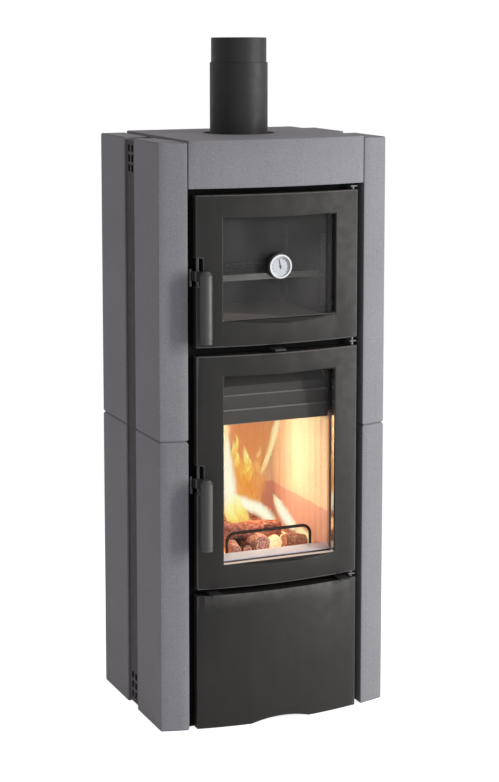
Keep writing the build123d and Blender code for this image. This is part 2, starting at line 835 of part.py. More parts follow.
def rack_runner():
    """Two perforated posts on the right oven wall, joined by the rail for the rack."""
    face_x = oven_half_width - post_sheet
    rail_y = (post_front_y, post_rear_y + post_width)
    runner = block(face_x - rail_width, face_x, *rail_y, rail_z, rail_z + rail_sheet)
    runner += block(face_x - rail_sheet, face_x, *rail_y, rail_z - rail_web, rail_z)
    holes = int((post_height - 2 * post_hole_margin) // post_hole_pitch) + 1
    for y in (post_front_y, post_rear_y):
        post = block(face_x, oven_half_width, y, y + post_width, *post_z)
        for i in range(holes):
            z = post_z[0] + post_hole_margin + i * post_hole_pitch
            hole = Box(4 * post_sheet, post_hole, post_hole)
            post -= Pos(oven_half_width, y + post_width / 4, z) * hole
        runner += post
    return runner


save("rack_runners", rack_runner(), mirrored(rack_runner()))


def oven_rack():
    """Wire rack with a guard along its front edge."""
    z = rail_z + rail_sheet + soft_gap + rack_wire
    side_x = rack_half_width - rack_wire
    start_y = rack_front_y - rack_guard_sheet / 2
    cross_y = rack_rear_y - rack_wire
    inner_x = side_x - rack_wire
    guard_y = (rack_front_y - rack_guard_sheet, rack_front_y)
    rack = block(-side_x, side_x, *guard_y, z - rack_wire, z + rack_guard / 2)
    rack += block(-inner_x, inner_x, *guard_y, z - rack_guard / 2, z)
    for x in (-side_x, side_x):
        rack += rod((x, start_y, z), (x, rack_rear_y, z), rack_wire)
    rack += rod((-side_x, cross_y, z), (side_x, cross_y, z), rack_wire)
    wires = int(2 * side_x // rack_pitch)
    for i in range(wires):
        x = (i - (wires - 1) / 2) * rack_pitch
        rack += rod((x, start_y, z), (x, cross_y, z), rack_cross_wire)
    return rack


save("oven_rack", oven_rack())

# ---------------------------------------------------------------- doors
def hinge_hole(z, direction):
    """Cutter for a hinge pin's hole in a door's top or bottom edge."""
    start = (hinge_x, hinge_y, z - direction * through)
    end = (hinge_x, hinge_y, z + direction * (hinge_pin_reach + hinge_hole_spare))
    return rod(start, end, hinge_pin_radius + running_clearance)


def clip_places(window_z, rows):
    """Side and height of each glass clip, spread over the window's height."""
    low_z, high_z = window_z[0] + clip_inset, window_z[1] - clip_inset
    heights = [low_z + (high_z - low_z) * i / (rows - 1) for i in range(rows)]
    return [(side, z) for side in (-1, 1) for z in heights]


def notch_range(grip_top):
    """Bottom and top of the notch that holds a latch."""
    top = grip_top - arm_drop + notch_above_arm
    return top - notch_height, top


def window_cut(half, z_range, sill_slope):
    """Window whose edges are level behind its corners and fall outwards in front of them."""
    corner_front_y = front_y(half)
    reach = corner_front_y + body_depth
    outline = [
        (door_back_y + through, z_range[0]), (corner_front_y, z_range[0]),
        (-body_depth, z_range[0] - sill_slope * reach),
        (-body_depth, z_range[1] - head_slope * reach),
        (corner_front_y, z_range[1]), (door_back_y + through, z_range[1]),
    ]
    return along_x(outline, -half, half)


def door_frame(z_range, window_half, window_z, sill_slope, grip_top, clip_rows):
    """Cast door: bowed skin, solid rim, raised seat for the glass and bosses for its clips."""
    z0, z1 = z_range
    hollow_half = door_half_width - door_rim
    casting = bowed(-door_half_width, door_half_width, door_back_y, z0, z1)
    casting -= bowed(
        -hollow_half, hollow_half, door_back_y + through, z0 + door_rim, z1 - door_rim,
        inset=door_skin,
    )
    seat_half = window_half + window_rim
    seat_z = (window_z[0] - window_sill_rim, window_z[1] + window_rim)
    casting += bowed(-seat_half, seat_half, glass_front_y, *seat_z, inset=door_skin / 2)
    for side, z in clip_places(window_z, clip_rows):
        x = side * clip_boss_x
        casting += rod((x, front_y(x, door_skin / 2), z), (x, glass_back_y, z), clip_boss_radius)
    casting -= window_cut(window_half, window_z, sill_slope)
    casting -= hinge_hole(z0, 1) + hinge_hole(z1, -1)
    notch_z = notch_range(grip_top)
    casting -= block(-width, latch_x + notch_reach, -body_depth, rear_y, *notch_z)
    hole_reach = latch_pivot_reach + latch_hole_spare
    casting -= rod(
        (latch_x, latch_y, notch_z[0] - hole_reach), (latch_x, latch_y, notch_z[1] + hole_reach),
        latch_pivot_radius + running_clearance,
    )
    return casting


def glass_pane(window_half, window_z):
    """Flat glass behind a door's window."""
    glass_half = window_half + glass_lap
    glass_z = (window_z[0] - glass_lap, window_z[1] + glass_lap)
    return block(-glass_half, glass_half, glass_front_y, glass_back_y, *glass_z)


def glass_clips(window_half, window_z, rows):
    """Flat clips that hold the glass to the bosses beside it."""
    inner_x = window_half + glass_lap - clip_hold
    outer_x = clip_boss_x + clip_boss_radius
    clips = []
    for side, z in clip_places(window_z, rows):
        clip = block(
            inner_x, outer_x, glass_back_y, glass_back_y + clip_sheet,
            z - clip_height / 2, z + clip_height / 2,
        )
        clips.append(clip if side > 0 else mirrored(clip))
    return clips


def gasket(z_range):
    """Rope seal between a door and the front plate."""
    edge = door_half_width - gasket_inset
    z_out = (z_range[0] + gasket_inset, z_range[1] - gasket_inset)
    z_in = (z_out[0] + gasket_width, z_out[1] - gasket_width)
    return frame(edge, z_out, edge - gasket_width, z_in, door_back_y, fascia_face_y)


def handle_arm(grip_top):
    """Lever between grip and striker, turning on its own upright pin in the door's notch."""
    top = grip_top - arm_drop
    low = top - arm_height
    reach = sqrt(grip_in**2 + grip_out**2)
    across_x = grip_out / reach * arm_width / 2
    across_y = grip_in / reach * arm_width / 2
    bar = [
        (latch_x + across_x, latch_y + across_y), (latch_x - across_x, latch_y - across_y),
        (grip_x - across_x, grip_y - across_y), (grip_x + across_x, grip_y + across_y),
    ]
    arm = upright(bar, low, top)
    arm -= rod((grip_x, grip_y, low - through), (grip_x, grip_y, top + through), grip_radius)
    arm += rod((latch_x, latch_y, low), (latch_x, latch_y, top), arm_hub_radius)
    hook_end_y = hook_y + hook_sheet
    root_x = striker_x + striker_radius + 2 * hook_clearance
    arm += block(root_x, root_x + hook_root, latch_y + hook_offset, hook_end_y, low, top)
    arm += block(latch_x - hook_length, root_x + hook_root / 2, hook_y, hook_end_y, low, top)
    notch_z = notch_range(grip_top)
    return arm + rod(
        (latch_x, latch_y, notch_z[0] - latch_pivot_reach),
        (latch_x, latch_y, notch_z[1] + latch_pivot_reach), latch_pivot_radius,
    )


def handle_grip(grip_top):
    """Round upright grip with a coned top and a groove near its foot."""
    def stretch(z0, z1, radius):
        return rod((grip_x, grip_y, z0), (grip_x, grip_y, z1), radius)

    foot = grip_top - grip_length
    shoulder = grip_top - grip_cone
    groove_z = foot + grip_groove_height
    cone = Cone(grip_radius, grip_tip_radius, grip_cone)
    grip = stretch(foot, shoulder, grip_radius)
    grip += Pos(grip_x, grip_y, shoulder + grip_cone / 2) * cone
    ring = stretch(groove_z, groove_z + grip_groove, grip_radius + through)
    ring -= stretch(
        groove_z - through, groove_z + grip_groove + through, grip_radius - grip_groove / 2
    )
    return grip - ring


def door_set(name, z_range, window_half, window_z, sill_slope, grip_top, clip_rows):
    """Frame, clips, gasket, handle arm and grip of one glazed door."""
    casting = door_frame(z_range, window_half, window_z, sill_slope, grip_top, clip_rows)
    save(f"{name}_door_frame", casting)
    save(f"{name}_glass_clips", *glass_clips(window_half, window_z, clip_rows))
    save(f"{name}_door_gasket", gasket(z_range))
    save(f"{name}_handle_arm", handle_arm(grip_top))
    save(f"{name}_handle_grip", handle_grip(grip_top))


door_set(
    "oven", oven_door_z, oven_window_half, oven_window_z, oven_sill_slope, oven_grip_top_z,
    clip_rows=2,
)
door_set(
    "fire", fire_door_z, fire_window_half, fire_window_z, fire_sill_slope, fire_grip_top_z,
    clip_rows=3,
)

save("fire_glass", glass_pane(fire_window_half, fire_window_z))
stem_hole = Cylinder(gauge_stem_radius + running_clearance, 4 * glass_sheet)
oven_glass = glass_pane(oven_window_half, oven_window_z)
save("oven_glass", oven_glass - Pos(0, glass_front_y, gauge_z) * Rot(90, 0, 0) * stem_hole)


def base_door():
    """Folded sheet with an arched finger pull and two hinge bushes."""
    z0, z1 = base_door_z
    inside_half = door_half_width - base_skin
    door = bowed(-door_half_width, door_half_width, door_back_y, z0, z1)
    door -= bowed(
        -inside_half, inside_half, door_back_y + through, z0 + base_skin, z1 - base_skin,
        inset=base_skin,
    )
    bush = 2 * hinge_leaf_half_width
    for low_z in (z0 + base_skin / 2, z1 - base_skin / 2 - bush):
        door += block(
            hinge_x - hinge_leaf_half_width, hinge_x + hinge_leaf_half_width,
            hinge_y - hinge_leaf_half_width, door_back_y, low_z, low_z + bush,
        )
    door -= hinge_hole(z0, 1) + hinge_hole(z1, -1)
    pull_radius = (pull_half_width**2 + pull_height**2) / (2 * pull_height)
    pull_cutter = Rot(90, 0, 0) * Cylinder(pull_radius, 4 * front_bow)
    return door - Pos(0, door_back_y, z0 + pull_height - pull_radius) * pull_cutter


save("base_door_panel", base_door())


def door_hinges():
    """Leaves on the front plate between the doors, each with the pin of the doors beside it."""
    gaps = (
        (0.0, base_door_z[0]), (base_door_z[1], fire_door_z[0]),
        (fire_door_z[1], oven_door_z[0]), (oven_door_z[1], lintel_bottom_z),
    )
    hinges = []
    for low_z, high_z in gaps:
        lowest, highest = low_z == gaps[0][0], low_z == gaps[-1][0]
        leaf_low = low_z if lowest else (low_z + high_z - hinge_leaf) / 2
        leaf_high = high_z - hinge_slack if lowest else leaf_low + hinge_leaf
        leaf = block(
            hinge_x - hinge_leaf_half_width, hinge_x + hinge_leaf_half_width,
            hinge_y - hinge_leaf_half_width, fascia_face_y, leaf_low, leaf_high,
        )
        pin_low = leaf_low if lowest else low_z - hinge_pin_reach
        pin_high = leaf_high if highest else high_z + hinge_pin_reach
        pin = rod((hinge_x, hinge_y, pin_low), (hinge_x, hinge_y, pin_high), hinge_pin_radius)
        hinges.append(leaf + pin)
    return hinges


save("door_hinges", *door_hinges())


def striker(grip_top):
    """Upright pin on a foot that is fixed to the front plate, one for each latch."""
    foot_top = grip_top - arm_drop - arm_height - striker_clear
    foot = block(
        striker_x - striker_radius, striker_x + striker_radius,
        striker_y - striker_radius, fascia_face_y, foot_top - striker_block, foot_top,
    )
    return foot + rod(
        (striker_x, striker_y, foot_top - striker_block / 2),
        (striker_x, striker_y, grip_top + striker_clear), striker_radius,
    )


save("latch_strikers", striker(oven_grip_top_z), striker(fire_grip_top_z))

# ---------------------------------------------------------------- thermometer
def gauge_disc(radius, y0, y1):
    """Disc on the gauge's axis, which runs front to back."""
    return rod((0, y0, gauge_z), (0, y1, gauge_z), radius)


gauge_face_y = glass_front_y - gauge_height
dial_y = gauge_face_y + dial_recess
case = gauge_disc(bezel_radius + gauge_rim, gauge_face_y + bezel_height, glass_front_y)
case += gauge_disc(bezel_radius, gauge_face_y, gauge_face_y + bezel_height + through)
case -= gauge_disc(dial_radius + dial_clearance, gauge_face_y - through, dial_y + dial_sheet)
case += gauge_disc(gauge_stem_radius, glass_front_y - through, glass_front_y + gauge_stem_length)
save("thermometer_case", case)

nut_end_y = glass_back_y + gauge_nut
nut_hole = gauge_disc(
    gauge_stem_radius + running_clearance, glass_back_y - through, nut_end_y + through
)
save("thermometer_nut", gauge_disc(gauge_nut_radius, glass_back_y, nut_end_y) - nut_hole)
save("thermometer_dial", gauge_disc(dial_radius, dial_y, dial_y + dial_sheet))


def needle():
    """Tapered hand on a hub that stands on the dial."""
    y = dial_y - needle_gap
    tail, tip = needle_width / 2, needle_tip_width / 2
    outline = [
        (-tail, y, -needle_tail), (tail, y, -needle_tail),
        (tip, y, needle_length), (-tip, y, needle_length),
    ]
    hand = extrude(make_face(Polyline(*outline, outline[0])), needle_sheet, dir=(0, -1, 0))
    hub = rod((0, dial_y, 0), (0, y - needle_sheet - needle_hub_proud, 0), needle_hub_radius)
    return Pos(0, 0, gauge_z) * Rot(0, -needle_angle, 0) * (hand + hub)


save("thermometer_needle", needle())

# ---------------------------------------------------------------- levers and ash pan
def lever_tab(x, tip_y, z_range):
    """Finger tab at the front end of a lever."""
    return block(x - tab_width / 2, x + tab_width / 2, tip_y, tip_y + tab_length, *z_range)


def bypass_damper():
    """Flat bar with a finger tab in front and a plate over the rear smoke hole."""
    tip_y = front_y(damper_x) - tab_proud
    z_range = (damper_z, damper_z + damper_sheet)
    x0, x1, y0, y1 = damper_hole
    bar = block(*damper_edges, tip_y + through, y0, *z_range)
    plate = block(
        x0 - damper_lap, x1 + damper_lap, y0 - damper_lap, y1 + damper_lap, *z_range
    )
    return bar + plate + lever_tab(damper_x, tip_y, z_range)


save("bypass_damper", bypass_damper())


def air_lever():
    """Left-hand air slide with a shank that passes the front plate and ends in a tab."""
    x = -air_lever_x
    tip_y = front_y(x) - tab_proud
    z_range = (air_lever_z, air_lever_z + air_lever_sheet)
    slide = Box(air_slide_length, air_slide_depth, air_slide_sheet)
    slide = Pos(x, slide_y, floor_plate_z - air_slide_sheet / 2) * slide
    slide -= air_holes(x, floor_plate_z, air_slide_sheet)
    shank_x = (x - air_shank / 2, x + air_shank / 2)
    leg_y = (slide_y - air_slide_depth / 2, slide_y - air_slide_depth / 2 + air_lever_sheet)
    shank = block(*shank_x, tip_y + through, leg_y[1], *z_range)
    leg = block(*shank_x, *leg_y, z_range[0], floor_plate_z - air_slide_sheet / 3)
    return slide + shank + leg + lever_tab(x, tip_y, z_range)


save("primary_air_lever", air_lever())
save("secondary_air_lever", mirrored(air_lever()))


def ash_pan():
    """Open tray with a lip on both sides that hangs on the rails."""
    x0, x1 = -pan_half_width, pan_half_width
    inside_y = (pan_y[0] + pan_sheet, pan_y[1] - pan_sheet)
    above_z = pan_z[1] + through
    tray = block(x0, x1, *pan_y, *pan_z)
    tray -= block(x0 + pan_sheet, x1 - pan_sheet, *inside_y, pan_z[0] + pan_sheet, above_z)
    lip_half = pan_half_width + pan_lip - pan_side_play
    lip = block(-lip_half, lip_half, *pan_y, pan_z[1] - pan_sheet, pan_z[1])
    return tray + (lip - block(x0, x1, *inside_y, pan_z[0], above_z))


save("ash_pan", ash_pan())

# ---------------------------------------------------------------- flue
collar = Pos(0, 0, collar_z + collar_height / 2) * Cylinder(collar_radius, collar_height)
collar += Pos(0, 0, collar_z + collar_flange / 2) * Cylinder(collar_flange_radius, collar_flange)
collar -= Pos(0, 0, collar_z) * Cylinder(collar_bore, 4 * collar_height)
save("flue_collar", collar)


def flue_rod(z0, z1, radius):
    """Round stretch on the flue's axis."""
    return rod((0, 0, z0), (0, 0, z1), radius)


pipe_low_z = collar_z + collar_flange
shoulder_z = pipe_step_z - pipe_wall
pipe = flue_rod(pipe_low_z, pipe_step_z, pipe_radius)
pipe -= flue_rod(pipe_low_z - through, shoulder_z, pipe_radius - pipe_wall)
pipe += flue_rod(shoulder_z, pipe_top_z, spigot_radius)
pipe -= flue_rod(pipe_low_z - through, pipe_top_z + through, spigot_radius - pipe_wall)
save("flue_pipe", pipe)
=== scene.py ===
import json
import math

import bmesh
import bpy
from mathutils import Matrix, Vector, noise


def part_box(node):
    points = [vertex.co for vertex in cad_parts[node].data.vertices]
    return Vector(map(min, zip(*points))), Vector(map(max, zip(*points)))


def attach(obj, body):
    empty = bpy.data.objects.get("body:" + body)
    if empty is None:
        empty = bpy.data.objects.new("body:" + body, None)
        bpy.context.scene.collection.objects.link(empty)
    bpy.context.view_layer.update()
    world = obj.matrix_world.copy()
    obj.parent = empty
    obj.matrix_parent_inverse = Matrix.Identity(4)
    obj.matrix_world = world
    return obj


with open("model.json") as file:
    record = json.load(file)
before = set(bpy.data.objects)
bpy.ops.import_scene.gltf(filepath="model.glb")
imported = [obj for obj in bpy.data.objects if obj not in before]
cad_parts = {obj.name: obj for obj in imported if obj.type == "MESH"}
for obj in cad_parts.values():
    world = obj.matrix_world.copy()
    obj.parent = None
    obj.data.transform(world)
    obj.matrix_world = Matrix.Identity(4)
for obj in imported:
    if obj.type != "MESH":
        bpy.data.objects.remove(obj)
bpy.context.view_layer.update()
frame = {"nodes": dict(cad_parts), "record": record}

# Wood stove with baking oven: the looks, the fire, the floor, the light and the camera.
# Lengths are in metres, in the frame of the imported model.

nodes = frame["nodes"]
scene = bpy.context.scene


# ---------------------------------------------------------------- materials

# Where the looks change on the doors, the deflector, the front plate, the oven and the
# linings.
SLOPE_SIDE = 0.012      # width of the slopes beside and above a window
SLOPE_FOOT = 0.025      # and below it
SLOPE_BLEND = 0.002
LAND_Y = (-0.2690, -0.2480)     # land in front of the glass with a painted highlight, front and back
LAND_HALF_HEIGHT = 0.003
STEPS_TOP_Z = 0.870     # where the deflector's steps end
OVEN_WALL = 0.170       # half the oven's inner width
OVEN_MOUTH_Y = -0.196   # light is painted on its walls in front of this
OVEN_MOUTH_SHARE = 0.3
FIRELIGHT_HALF_X = (0.168, 0.171)     # where the painted fire light on the front plate fades out
FIRELIGHT_Z = (0.425, 0.80)
SHADOW_LINE = 0.531      # top of the painted shadow on the lower linings
SHADE_Z = (0.775, 0.80)  # painted shade on the linings' front tops starts between these heights
SHADE_Y = (-0.13, -0.16)
GLASS_LAP = 0.014       # a door laps over its glass by this
PANE_IOR = 1.1

# The thermometer's face: radii in metres, turns in degrees clockwise from the top.
BEZEL_DEPTH = 0.0036
DIAL_TURN = 130.0
LONG_TICK, SHORT_TICK, TICK_TIP = 0.0182, 0.0206, 0.0226
DIAL_RING = (0.0224, 0.0229)
DARK_ARC_TURN = (8.0, 112.0)
DARK_ARC_RING = (0.0196, 0.0226)


class Look:
    """A procedural material, built node by node."""

    def __init__(self, name):
        self.material = bpy.data.materials.new(name)
        self.material.use_nodes = True
        self.tree = self.material.node_tree
        self.tree.nodes.clear()
        self.output = self.tree.nodes.new("ShaderNodeOutputMaterial")
        self.place = self.add("TexCoord").outputs["Object"]

    def add(self, kind, settings=None, inputs=None):
        node = self.tree.nodes.new("ShaderNode" + kind)
        for key, value in (settings or {}).items():
            setattr(node, key, value)
        for key, value in (inputs or {}).items():
            self.put(node.inputs[key], value)
        return node

    def put(self, socket, value):
        if isinstance(value, bpy.types.NodeSocket):
            self.tree.links.new(value, socket)
        elif socket.type == "RGBA" and len(value) == 3:
            socket.default_value = (*value, 1.0)
        else:
            socket.default_value = value

    def math(self, operation, first, second=0.0, clamp=False):
        node = self.add("Math", {"operation": operation, "use_clamp": clamp},
                        {0: first, 1: second})
        return node.outputs[0]

    def span(self, value, low, high, to_low=0.0, to_high=1.0, smooth=False):
        node = self.add("MapRange",
                        {"interpolation_type": "SMOOTHSTEP" if smooth else "LINEAR"},
                        {"Value": value, "From Min": low, "From Max": high,
                         "To Min": to_low, "To Max": to_high})
        return node.outputs[0]

    def mix(self, share, first, second, blend="MIX"):
        node = self.add("Mix", {"data_type": "RGBA", "blend_type": blend},
                        {0: share, 6: first, 7: second})
        return node.outputs[2]

    def noise(self, scale, detail=2.0, roughness=0.5, distortion=0.0, place=None):
        node = self.add("TexNoise", None,
                        {"Vector": place or self.place, "Scale": scale, "Detail": detail,
                         "Roughness": roughness, "Distortion": distortion})
        return node.outputs[0]

    def cells(self, scale, place=None):
        return self.add("TexVoronoi", None, {"Vector": place or self.place, "Scale": scale})

    def stretched(self, x=1.0, y=1.0, z=1.0):
        node = self.add("Mapping", None, {"Vector": self.place, "Scale": (x, y, z)})
        return node.outputs[0]

    def ramp(self, value, stops):
        node = self.add("ValToRGB", None, {0: value})
        band = node.color_ramp
        while len(band.elements) < len(stops):
            band.elements.new(0.5)
        for element, (position, colour) in zip(band.elements, stops):
            element.position = position
            element.color = (*colour, 1.0)
        return node.outputs[0]

    def bump(self, height, depth, strength):
        return self.add("Bump", None, {
            "Height": height, "Distance": depth, "Strength": strength}).outputs[0]

    def axes(self):
        node = self.add("SeparateXYZ", None, {0: self.place})
        return node.outputs[0], node.outputs[1], node.outputs[2]

    def facing(self):
        """How far the surface faces along x, y and z, without its sign."""
        normal = self.add("TexCoord").outputs["Normal"]
        node = self.add("SeparateXYZ", None, {0: normal})
        return [self.math("ABSOLUTE", node.outputs[axis]) for axis in range(3)]

    def between(self, value, low, high, soft):
        """1 where the value lies between low and high, 0 outside."""
        up = self.span(value, low - soft, low + soft, smooth=True)
        down = self.span(value, high - soft, high + soft, 1.0, 0.0, smooth=True)
        return self.math("MULTIPLY", up, down)

    def rounded(self):
        """1 on the rounded edges between the front, the sides and the top."""
        x, y, z = self.facing()
        return self.math("MAXIMUM", self.between(x, 0.38, 0.92, 0.04),
                         self.between(z, 0.25, 0.94, 0.04))

    def principled(self, **inputs):
        named = {key.replace("_", " "): value for key, value in inputs.items()}
        return self.add("BsdfPrincipled", None, named).outputs[0]

    def surface(self, shader):
        """Ends the material. The lamps light the scene, so no glow is sampled as one."""
        self.tree.links.new(shader, self.output.inputs["Surface"])
        self.material.cycles.emission_sampling = "NONE"
        return self.material


def painted(name, colour, roughness=0.5, specular=0.5, mottle=0.12, grain=900.0,
            grain_depth=0.00004, wear=0.0, edge_highlight=None, no_highlight=None, bare=None, painted_light=None,
            painted_firelight=None):
    """Heat-resistant paint: fine orange peel and cloudiness, worn where told, with light
    painted where told.

    edge_highlight is the tone of a highlight painted on rounded edges. no_highlight, bare,
    painted_light and painted_firelight take the look and return where no edge highlight is
    painted, where bare steel shows, where a highlight or other light is painted and where the
    fire's light is painted.
    """
    look = Look(name)
    cloud = look.noise(9.0, 3.0)
    fine = look.noise(grain, 2.0)
    dark = tuple(c * (1 - mottle) for c in colour)
    light = tuple(c * (1 + mottle) for c in colour)
    tone = look.mix(look.span(cloud, 0.35, 0.65), dark, light)
    tone = look.mix(look.span(fine, 0.3, 0.75, 0.0, 0.35), tone, light)
    if wear:
        sheet = look.noise(55.0, 4.0, 0.6)
        tone = look.mix(look.span(sheet, 0.55, 0.75, 0.0, wear), tone,
                        tuple(min(1.0, c * 2.2 + 0.02) for c in colour))
    rough = look.span(look.noise(38.0, 3.0), 0.3, 0.7, roughness - 0.05, roughness + 0.05)
    # A highlight is painted on the rounded edges, left off where the mask says.
    if edge_highlight:
        painted_edge_light = look.math("MULTIPLY", look.rounded(),
                           look.span(look.noise(60.0, 3.0), 0.3, 0.5, 0.6, 1.0))
        if no_highlight:
            painted_edge_light = look.math("MULTIPLY", painted_edge_light, look.math("SUBTRACT", 1.0, no_highlight(look)))
        tone = look.mix(painted_edge_light, tone, edge_highlight)
    # Light painted where told, such as the highlight on a window's land.
    if painted_light:
        tone = look.mix(painted_light(look), tone, PAINTED_LIGHT_TONE)
    # The fire's light painted where told.
    if painted_firelight:
        tone = look.mix(painted_firelight(look), tone, FIRELIGHT_TONE)
    inputs = {"Specular_IOR_Level": specular, "Normal": look.bump(fine, grain_depth, 0.6)}
    if bare:
        steel = bare(look)
        tone = look.mix(steel, tone, BARE_STEEL)
        rough = look.math("ADD", rough, look.math("MULTIPLY", steel, 0.12 - roughness))
        inputs["Metallic"] = steel
    return look.surface(look.principled(Base_Color=tone, Roughness=rough, **inputs))


def window_zone(low_z, high_z, half_x):
    """The window's slopes, where no edge highlight is painted."""
    def where(look):
        x, y, z = look.axes()
        edge = half_x + SLOPE_SIDE
        inside = look.span(look.math("ABSOLUTE", x), edge, edge + SLOPE_BLEND, 1.0, 0.0)
        return look.math("MULTIPLY", inside, look.between(
            z, low_z - SLOPE_FOOT, high_z + SLOPE_SIDE, SLOPE_BLEND / 2))
    return where


def bare_reveal(low_z, high_z, half_x):
    """The window's machined sides."""
    def where(look):
        x, y, z = look.axes()
        along, depth, up = look.facing()
        side = look.math("MULTIPLY", look.span(along, 0.93, 0.97), look.between(
            look.math("ABSOLUTE", x), half_x - 0.0015, half_x + 0.003, 0.0005))
        return look.math("MULTIPLY", side, look.between(z, low_z, high_z, 0.001))
    return where


def painted_land_highlight(low_z, half_x, share):
    """A painted highlight on the strip along the window's lower edge, in front of the glass.
    """
    def where(look):
        x, y, z = look.axes()
        strip = look.math("MULTIPLY", look.between(y, *LAND_Y, 0.0003), look.between(
            z, low_z - LAND_HALF_HEIGHT, low_z + LAND_HALF_HEIGHT, 0.0005))
        inside = look.span(look.math("ABSOLUTE", x), half_x, half_x + 0.001, share, 0.0)
        return look.math("MULTIPLY", strip, inside)
    return where


def above_steps(look):
    """The deflector's upper sheet, which leans back and gets no painted edge highlight."""
    return look.span(look.axes()[2], STEPS_TOP_Z - 0.002, STEPS_TOP_Z + 0.002)


def oven_mouth_light(look):
    """Painted light on the oven's walls next to the door."""
    x, y, z = look.axes()
    wall = look.span(look.math("ABSOLUTE", x), OVEN_WALL - 0.002, OVEN_WALL - 0.001)
    return look.math("MULTIPLY", wall, look.span(
        y, OVEN_MOUTH_Y + 0.0005, OVEN_MOUTH_Y - 0.0005, 0.0, OVEN_MOUTH_SHARE))


def mouth_firelight(look):
    """Painted fire light on the front plate's edges around the fire, and a little on its face
    there.
    """
    x, y, z = look.axes()
    near = look.span(look.math("ABSOLUTE", x), *FIRELIGHT_HALF_X, 1.0, 0.0)
    return look.math("MULTIPLY", near, look.between(z, *FIRELIGHT_Z, 0.012))


def gauge_case(name):
    """Chromed bezel in front, black lacquered case behind it."""
    look = Look(name)
    x, y, z = look.axes()
    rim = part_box("thermometer_case")[0].y + BEZEL_DEPTH
    back = look.span(y, rim, rim + 0.0004)
    fine = look.noise(700.0, 2.0)
    return look.surface(look.principled(
        Base_Color=look.mix(back, (0.80, 0.80, 0.80), (0.010, 0.010, 0.010)),
        Metallic=look.math("SUBTRACT", 1.0, back),
        Roughness=look.math("ADD", look.span(fine, 0.3, 0.7, 0.12, 0.2),
                            look.math("MULTIPLY", back, 0.3)),
        Normal=look.bump(fine, 0.00001, 0.4)))


def gauge_dial(name):
    """White enamel dial: a ring with long and short ticks, and a dark arc at the upper right.
    """
    look = Look(name)
    x, y, z = look.axes()
    rise = look.math("SUBTRACT", z, GAUGE_Z)
    radius = look.math("SQRT", look.math("ADD", look.math("MULTIPLY", x, x),
                                         look.math("MULTIPLY", rise, rise)))
    turn = look.math("DEGREES", look.math("ARCTAN2", x, rise))
    swept = look.between(turn, -DIAL_TURN - 1.0, DIAL_TURN + 1.0, 0.5)

    def ticks(pitch, inner, half_width):
        step = look.math("FRACT", look.math("ADD", look.math(
            "DIVIDE", look.math("ADD", turn, DIAL_TURN), pitch), 0.5))
        off = look.math("MULTIPLY", look.math("ABSOLUTE", look.math("SUBTRACT", step, 0.5)),
                        look.math("MULTIPLY", radius, math.radians(pitch)))
        line = look.span(off, half_width - 0.0001, half_width + 0.0001, 1.0, 0.0)
        return look.math("MULTIPLY", line, look.between(radius, inner, TICK_TIP, 0.0001))

    marks = look.math("MAXIMUM", ticks(DIAL_TURN / 5, LONG_TICK, 0.00045),
                      ticks(DIAL_TURN / 25, SHORT_TICK, 0.00022))
    marks = look.math("MAXIMUM", marks, look.between(radius, *DIAL_RING, 0.0001))
    tone = look.mix(look.noise(40.0, 2.0), (0.50, 0.53, 0.56), (0.56, 0.59, 0.62))
    # A dark arc on the upper right of the dial.
    hot = look.math("MULTIPLY", look.between(turn, *DARK_ARC_TURN, 2.0),
                    look.between(radius, *DARK_ARC_RING, 0.0002))
    tone = look.mix(look.math("MULTIPLY", hot, 0.75), tone, (0.10, 0.085, 0.09))
    tone = look.mix(look.math("MULTIPLY", marks, swept), tone, (0.02, 0.02, 0.022))
    return look.surface(look.principled(
        Base_Color=tone, Roughness=look.span(look.noise(300.0), 0.3, 0.7, 0.3, 0.42)))


def cast_stone(name, colour):
    """Cast stone: sand grains, sparse light and dark specks, faint clouds, open pores."""
    look = Look(name)
    cloud = look.noise(6.0, 4.0, 0.55)
    grain = look.noise(420.0, 3.0, 0.6)
    sand = look.noise(1100.0, 1.0)
    tone = look.mix(look.span(cloud, 0.3, 0.7), tuple(c * 0.95 for c in colour),
                    tuple(c * 1.05 for c in colour))
    tone = look.mix(look.span(grain, 0.36, 0.5, 0.45, 0.0), tone,
                    tuple(c * 0.7 for c in colour))
    tone = look.mix(look.span(grain, 0.54, 0.68, 0.0, 0.4), tone,
                    tuple(min(1.0, c * 1.35) for c in colour))
    light = look.cells(170.0)
    near = look.span(light.outputs["Distance"], 0.14, 0.26, 0.55, 0.0)
    rare = look.span(look.add("SeparateColor", None, {0: light.outputs["Color"]}).outputs[0],
                     0.84, 0.9)
    tone = look.mix(look.math("MULTIPLY", near, rare), tone,
                    tuple(min(1.0, c * 2.0) for c in colour))
    dark = look.cells(230.0, look.stretched(1.0, 1.1, 0.9))
    near = look.span(dark.outputs["Distance"], 0.15, 0.28, 1.0, 0.0)
    rare = look.span(look.add("SeparateColor", None, {0: dark.outputs["Color"]}).outputs[1],
                     0.74, 0.80)
    pores = look.math("MULTIPLY", near, rare)
    tone = look.mix(look.math("MULTIPLY", pores, 0.75), tone, tuple(c * 0.3 for c in colour))
    height = look.math("SUBTRACT", look.math("ADD", look.math("MULTIPLY", grain, 0.7),
                                             look.math("MULTIPLY", sand, 0.3)), pores)
    rough = look.span(grain, 0.3, 0.7, 0.72, 0.86)
    return look.surface(look.principled(
        Base_Color=tone, Roughness=rough, Specular_IOR_Level=0.3,
        Normal=look.bump(height, 0.00035, 0.7)))


